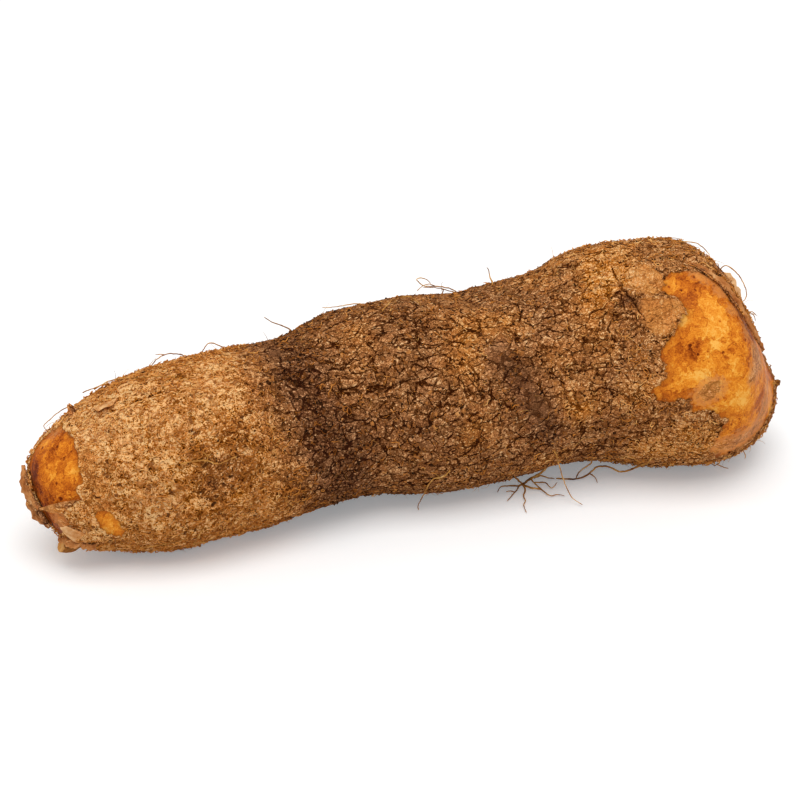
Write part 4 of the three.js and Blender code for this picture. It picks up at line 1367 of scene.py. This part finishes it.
def add_floor():
    # Matt white paper with a glow that only the camera and shiny or clear surfaces see, and that lights
    # nothing: it takes the soft shadow, which the weak glow near the tuber lifts a little, and reads as
    # white where it is lit and everywhere beyond arm's length.
    material, tree = new_material("matt_white_paper")
    paper = node(tree, "ShaderNodeBsdfDiffuse", {"Color": linear("#fcfcfc")})
    strength = node(tree, MATHS, {0: seen_directly(tree), 1: PAPER_GLOW}, operation="MULTIPLY")
    glow = node(tree, "ShaderNodeEmission", {"Color": linear("#f7fbff"), "Strength": strength})
    place = node(tree, "ShaderNodeTexCoord", out="Object")
    away = node(tree, VECTOR, {0: place}, out="Value", operation="LENGTH")
    lift = node(tree, RANGE, {"Value": away, "From Min": LIT_FROM, "From Max": LIT_FULLY,
                              "To Min": 0.12, "To Max": 1.0}, **SOFTLY)
    surface = node(tree, "ShaderNodeMixShader", {0: lift, 1: paper, 2: glow})
    node(tree, OUTPUT, {"Surface": surface})
    bpy.ops.object.select_all(action="DESELECT")
    bpy.ops.mesh.primitive_plane_add(size=12)
    floor = bpy.context.object
    floor.name = "floor"
    floor.data.materials.append(material)


def add_world():
    world = bpy.data.worlds.new("studio")
    world.use_nodes = True
    tree = world.node_tree
    tree.nodes.clear()
    white = node(tree, "ShaderNodeBackground", {"Color": linear("#ffffff"), "Strength": 1.0})
    soft = node(tree, "ShaderNodeBackground", {"Color": linear("#fffdfa"), "Strength": 0.6})
    mix = node(tree, "ShaderNodeMixShader", {0: seen_directly(tree), 1: soft, 2: white})
    node(tree, "ShaderNodeOutputWorld", {"Surface": mix})
    bpy.context.scene.world = world


# ---------------------------------------------------------------- assembly

bpy.context.scene.view_settings.view_transform = "Standard"
add_camera()
add_world()
add_floor()
add_light("overhead_softbox", place=(-0.4, -1.3, 4.6), size=3.6, power=132)

rng = np.random.default_rng(SEED)
fibre = plain_finish("dry_bast_fibre")
cork_scale = plain_finish("loose_cork_scale")
soil = plain_finish("dried_soil")
root_skin = plain_finish("feeder_root_skin")
torn_cork = torn_bark()

tuber = smooth_tuber()
carve(tuber)
finish_piece(tuber, yam_skin(), ("tuber",))
skin = Skin(tuber)

barked = skin.corner_mean(smooth_step(skin.values["bare"], -0.4, -1.0))
barked *= skin.corner_mean(smooth_step(np.abs(skin.values["split"]), 0.3, 0.6))
clumped = smooth_step(skin.corner_mean(field(skin.points, 10, 2, 31.0)), -0.45, 0.25)
calm = barked * (1 - 0.85 * skin.corner_mean(skin.values["rubbed"])) * (0.3 + clumped)
pale = calm * skin.corner_mean(skin.values["frayed"])
dark = barked * skin.corner_mean(smooth_step(skin.values["tone"], 0.5, 0.2))

for name, make, weight, slot, material in (
    ("pale_fibres", laid_fibres, 0.02 * calm + pale, "bark", fibre),
    ("short_fibres", laid_fibres, 0.06 * calm + pale, "bark", fibre),
    ("bark_flecks", laid_fibres, calm, "bark", fibre),
    ("bark_scales", laid_flakes, calm, "bark", cork_scale),
    ("soil_crumbs", crumbs, 0.3 * (calm - pale) + dark, "bark", soil),
    ("root_hairs", loose_hairs, calm, "root", root_skin),
):
    finish_piece(make(skin, name, rng, weight, **SCATTER[name]), material)

for flap_name, shape in FLAPS.items():
    finish_piece(torn_flap(flap_name + "_sheet", shape), torn_cork, (flap_name,))
for leaf_name, shape in LOOSE_LEAVES.items():
    finish_piece(torn_flap(leaf_name, shape), torn_cork)
finish_piece(cut_stub(), plain_finish("cut_vine_stem"), ("stem_stub",))
for root_name, branches in ROOTS.items():
    make = root_bud if root_name == "root_head_knob" else rootlet
    finish_piece(make(root_name + "_strand", branches), root_skin, (root_name,))
for fibre_name, branches in STRAY_FIBRES.items():
    finish_piece(rootlet(fibre_name, branches), root_skin)
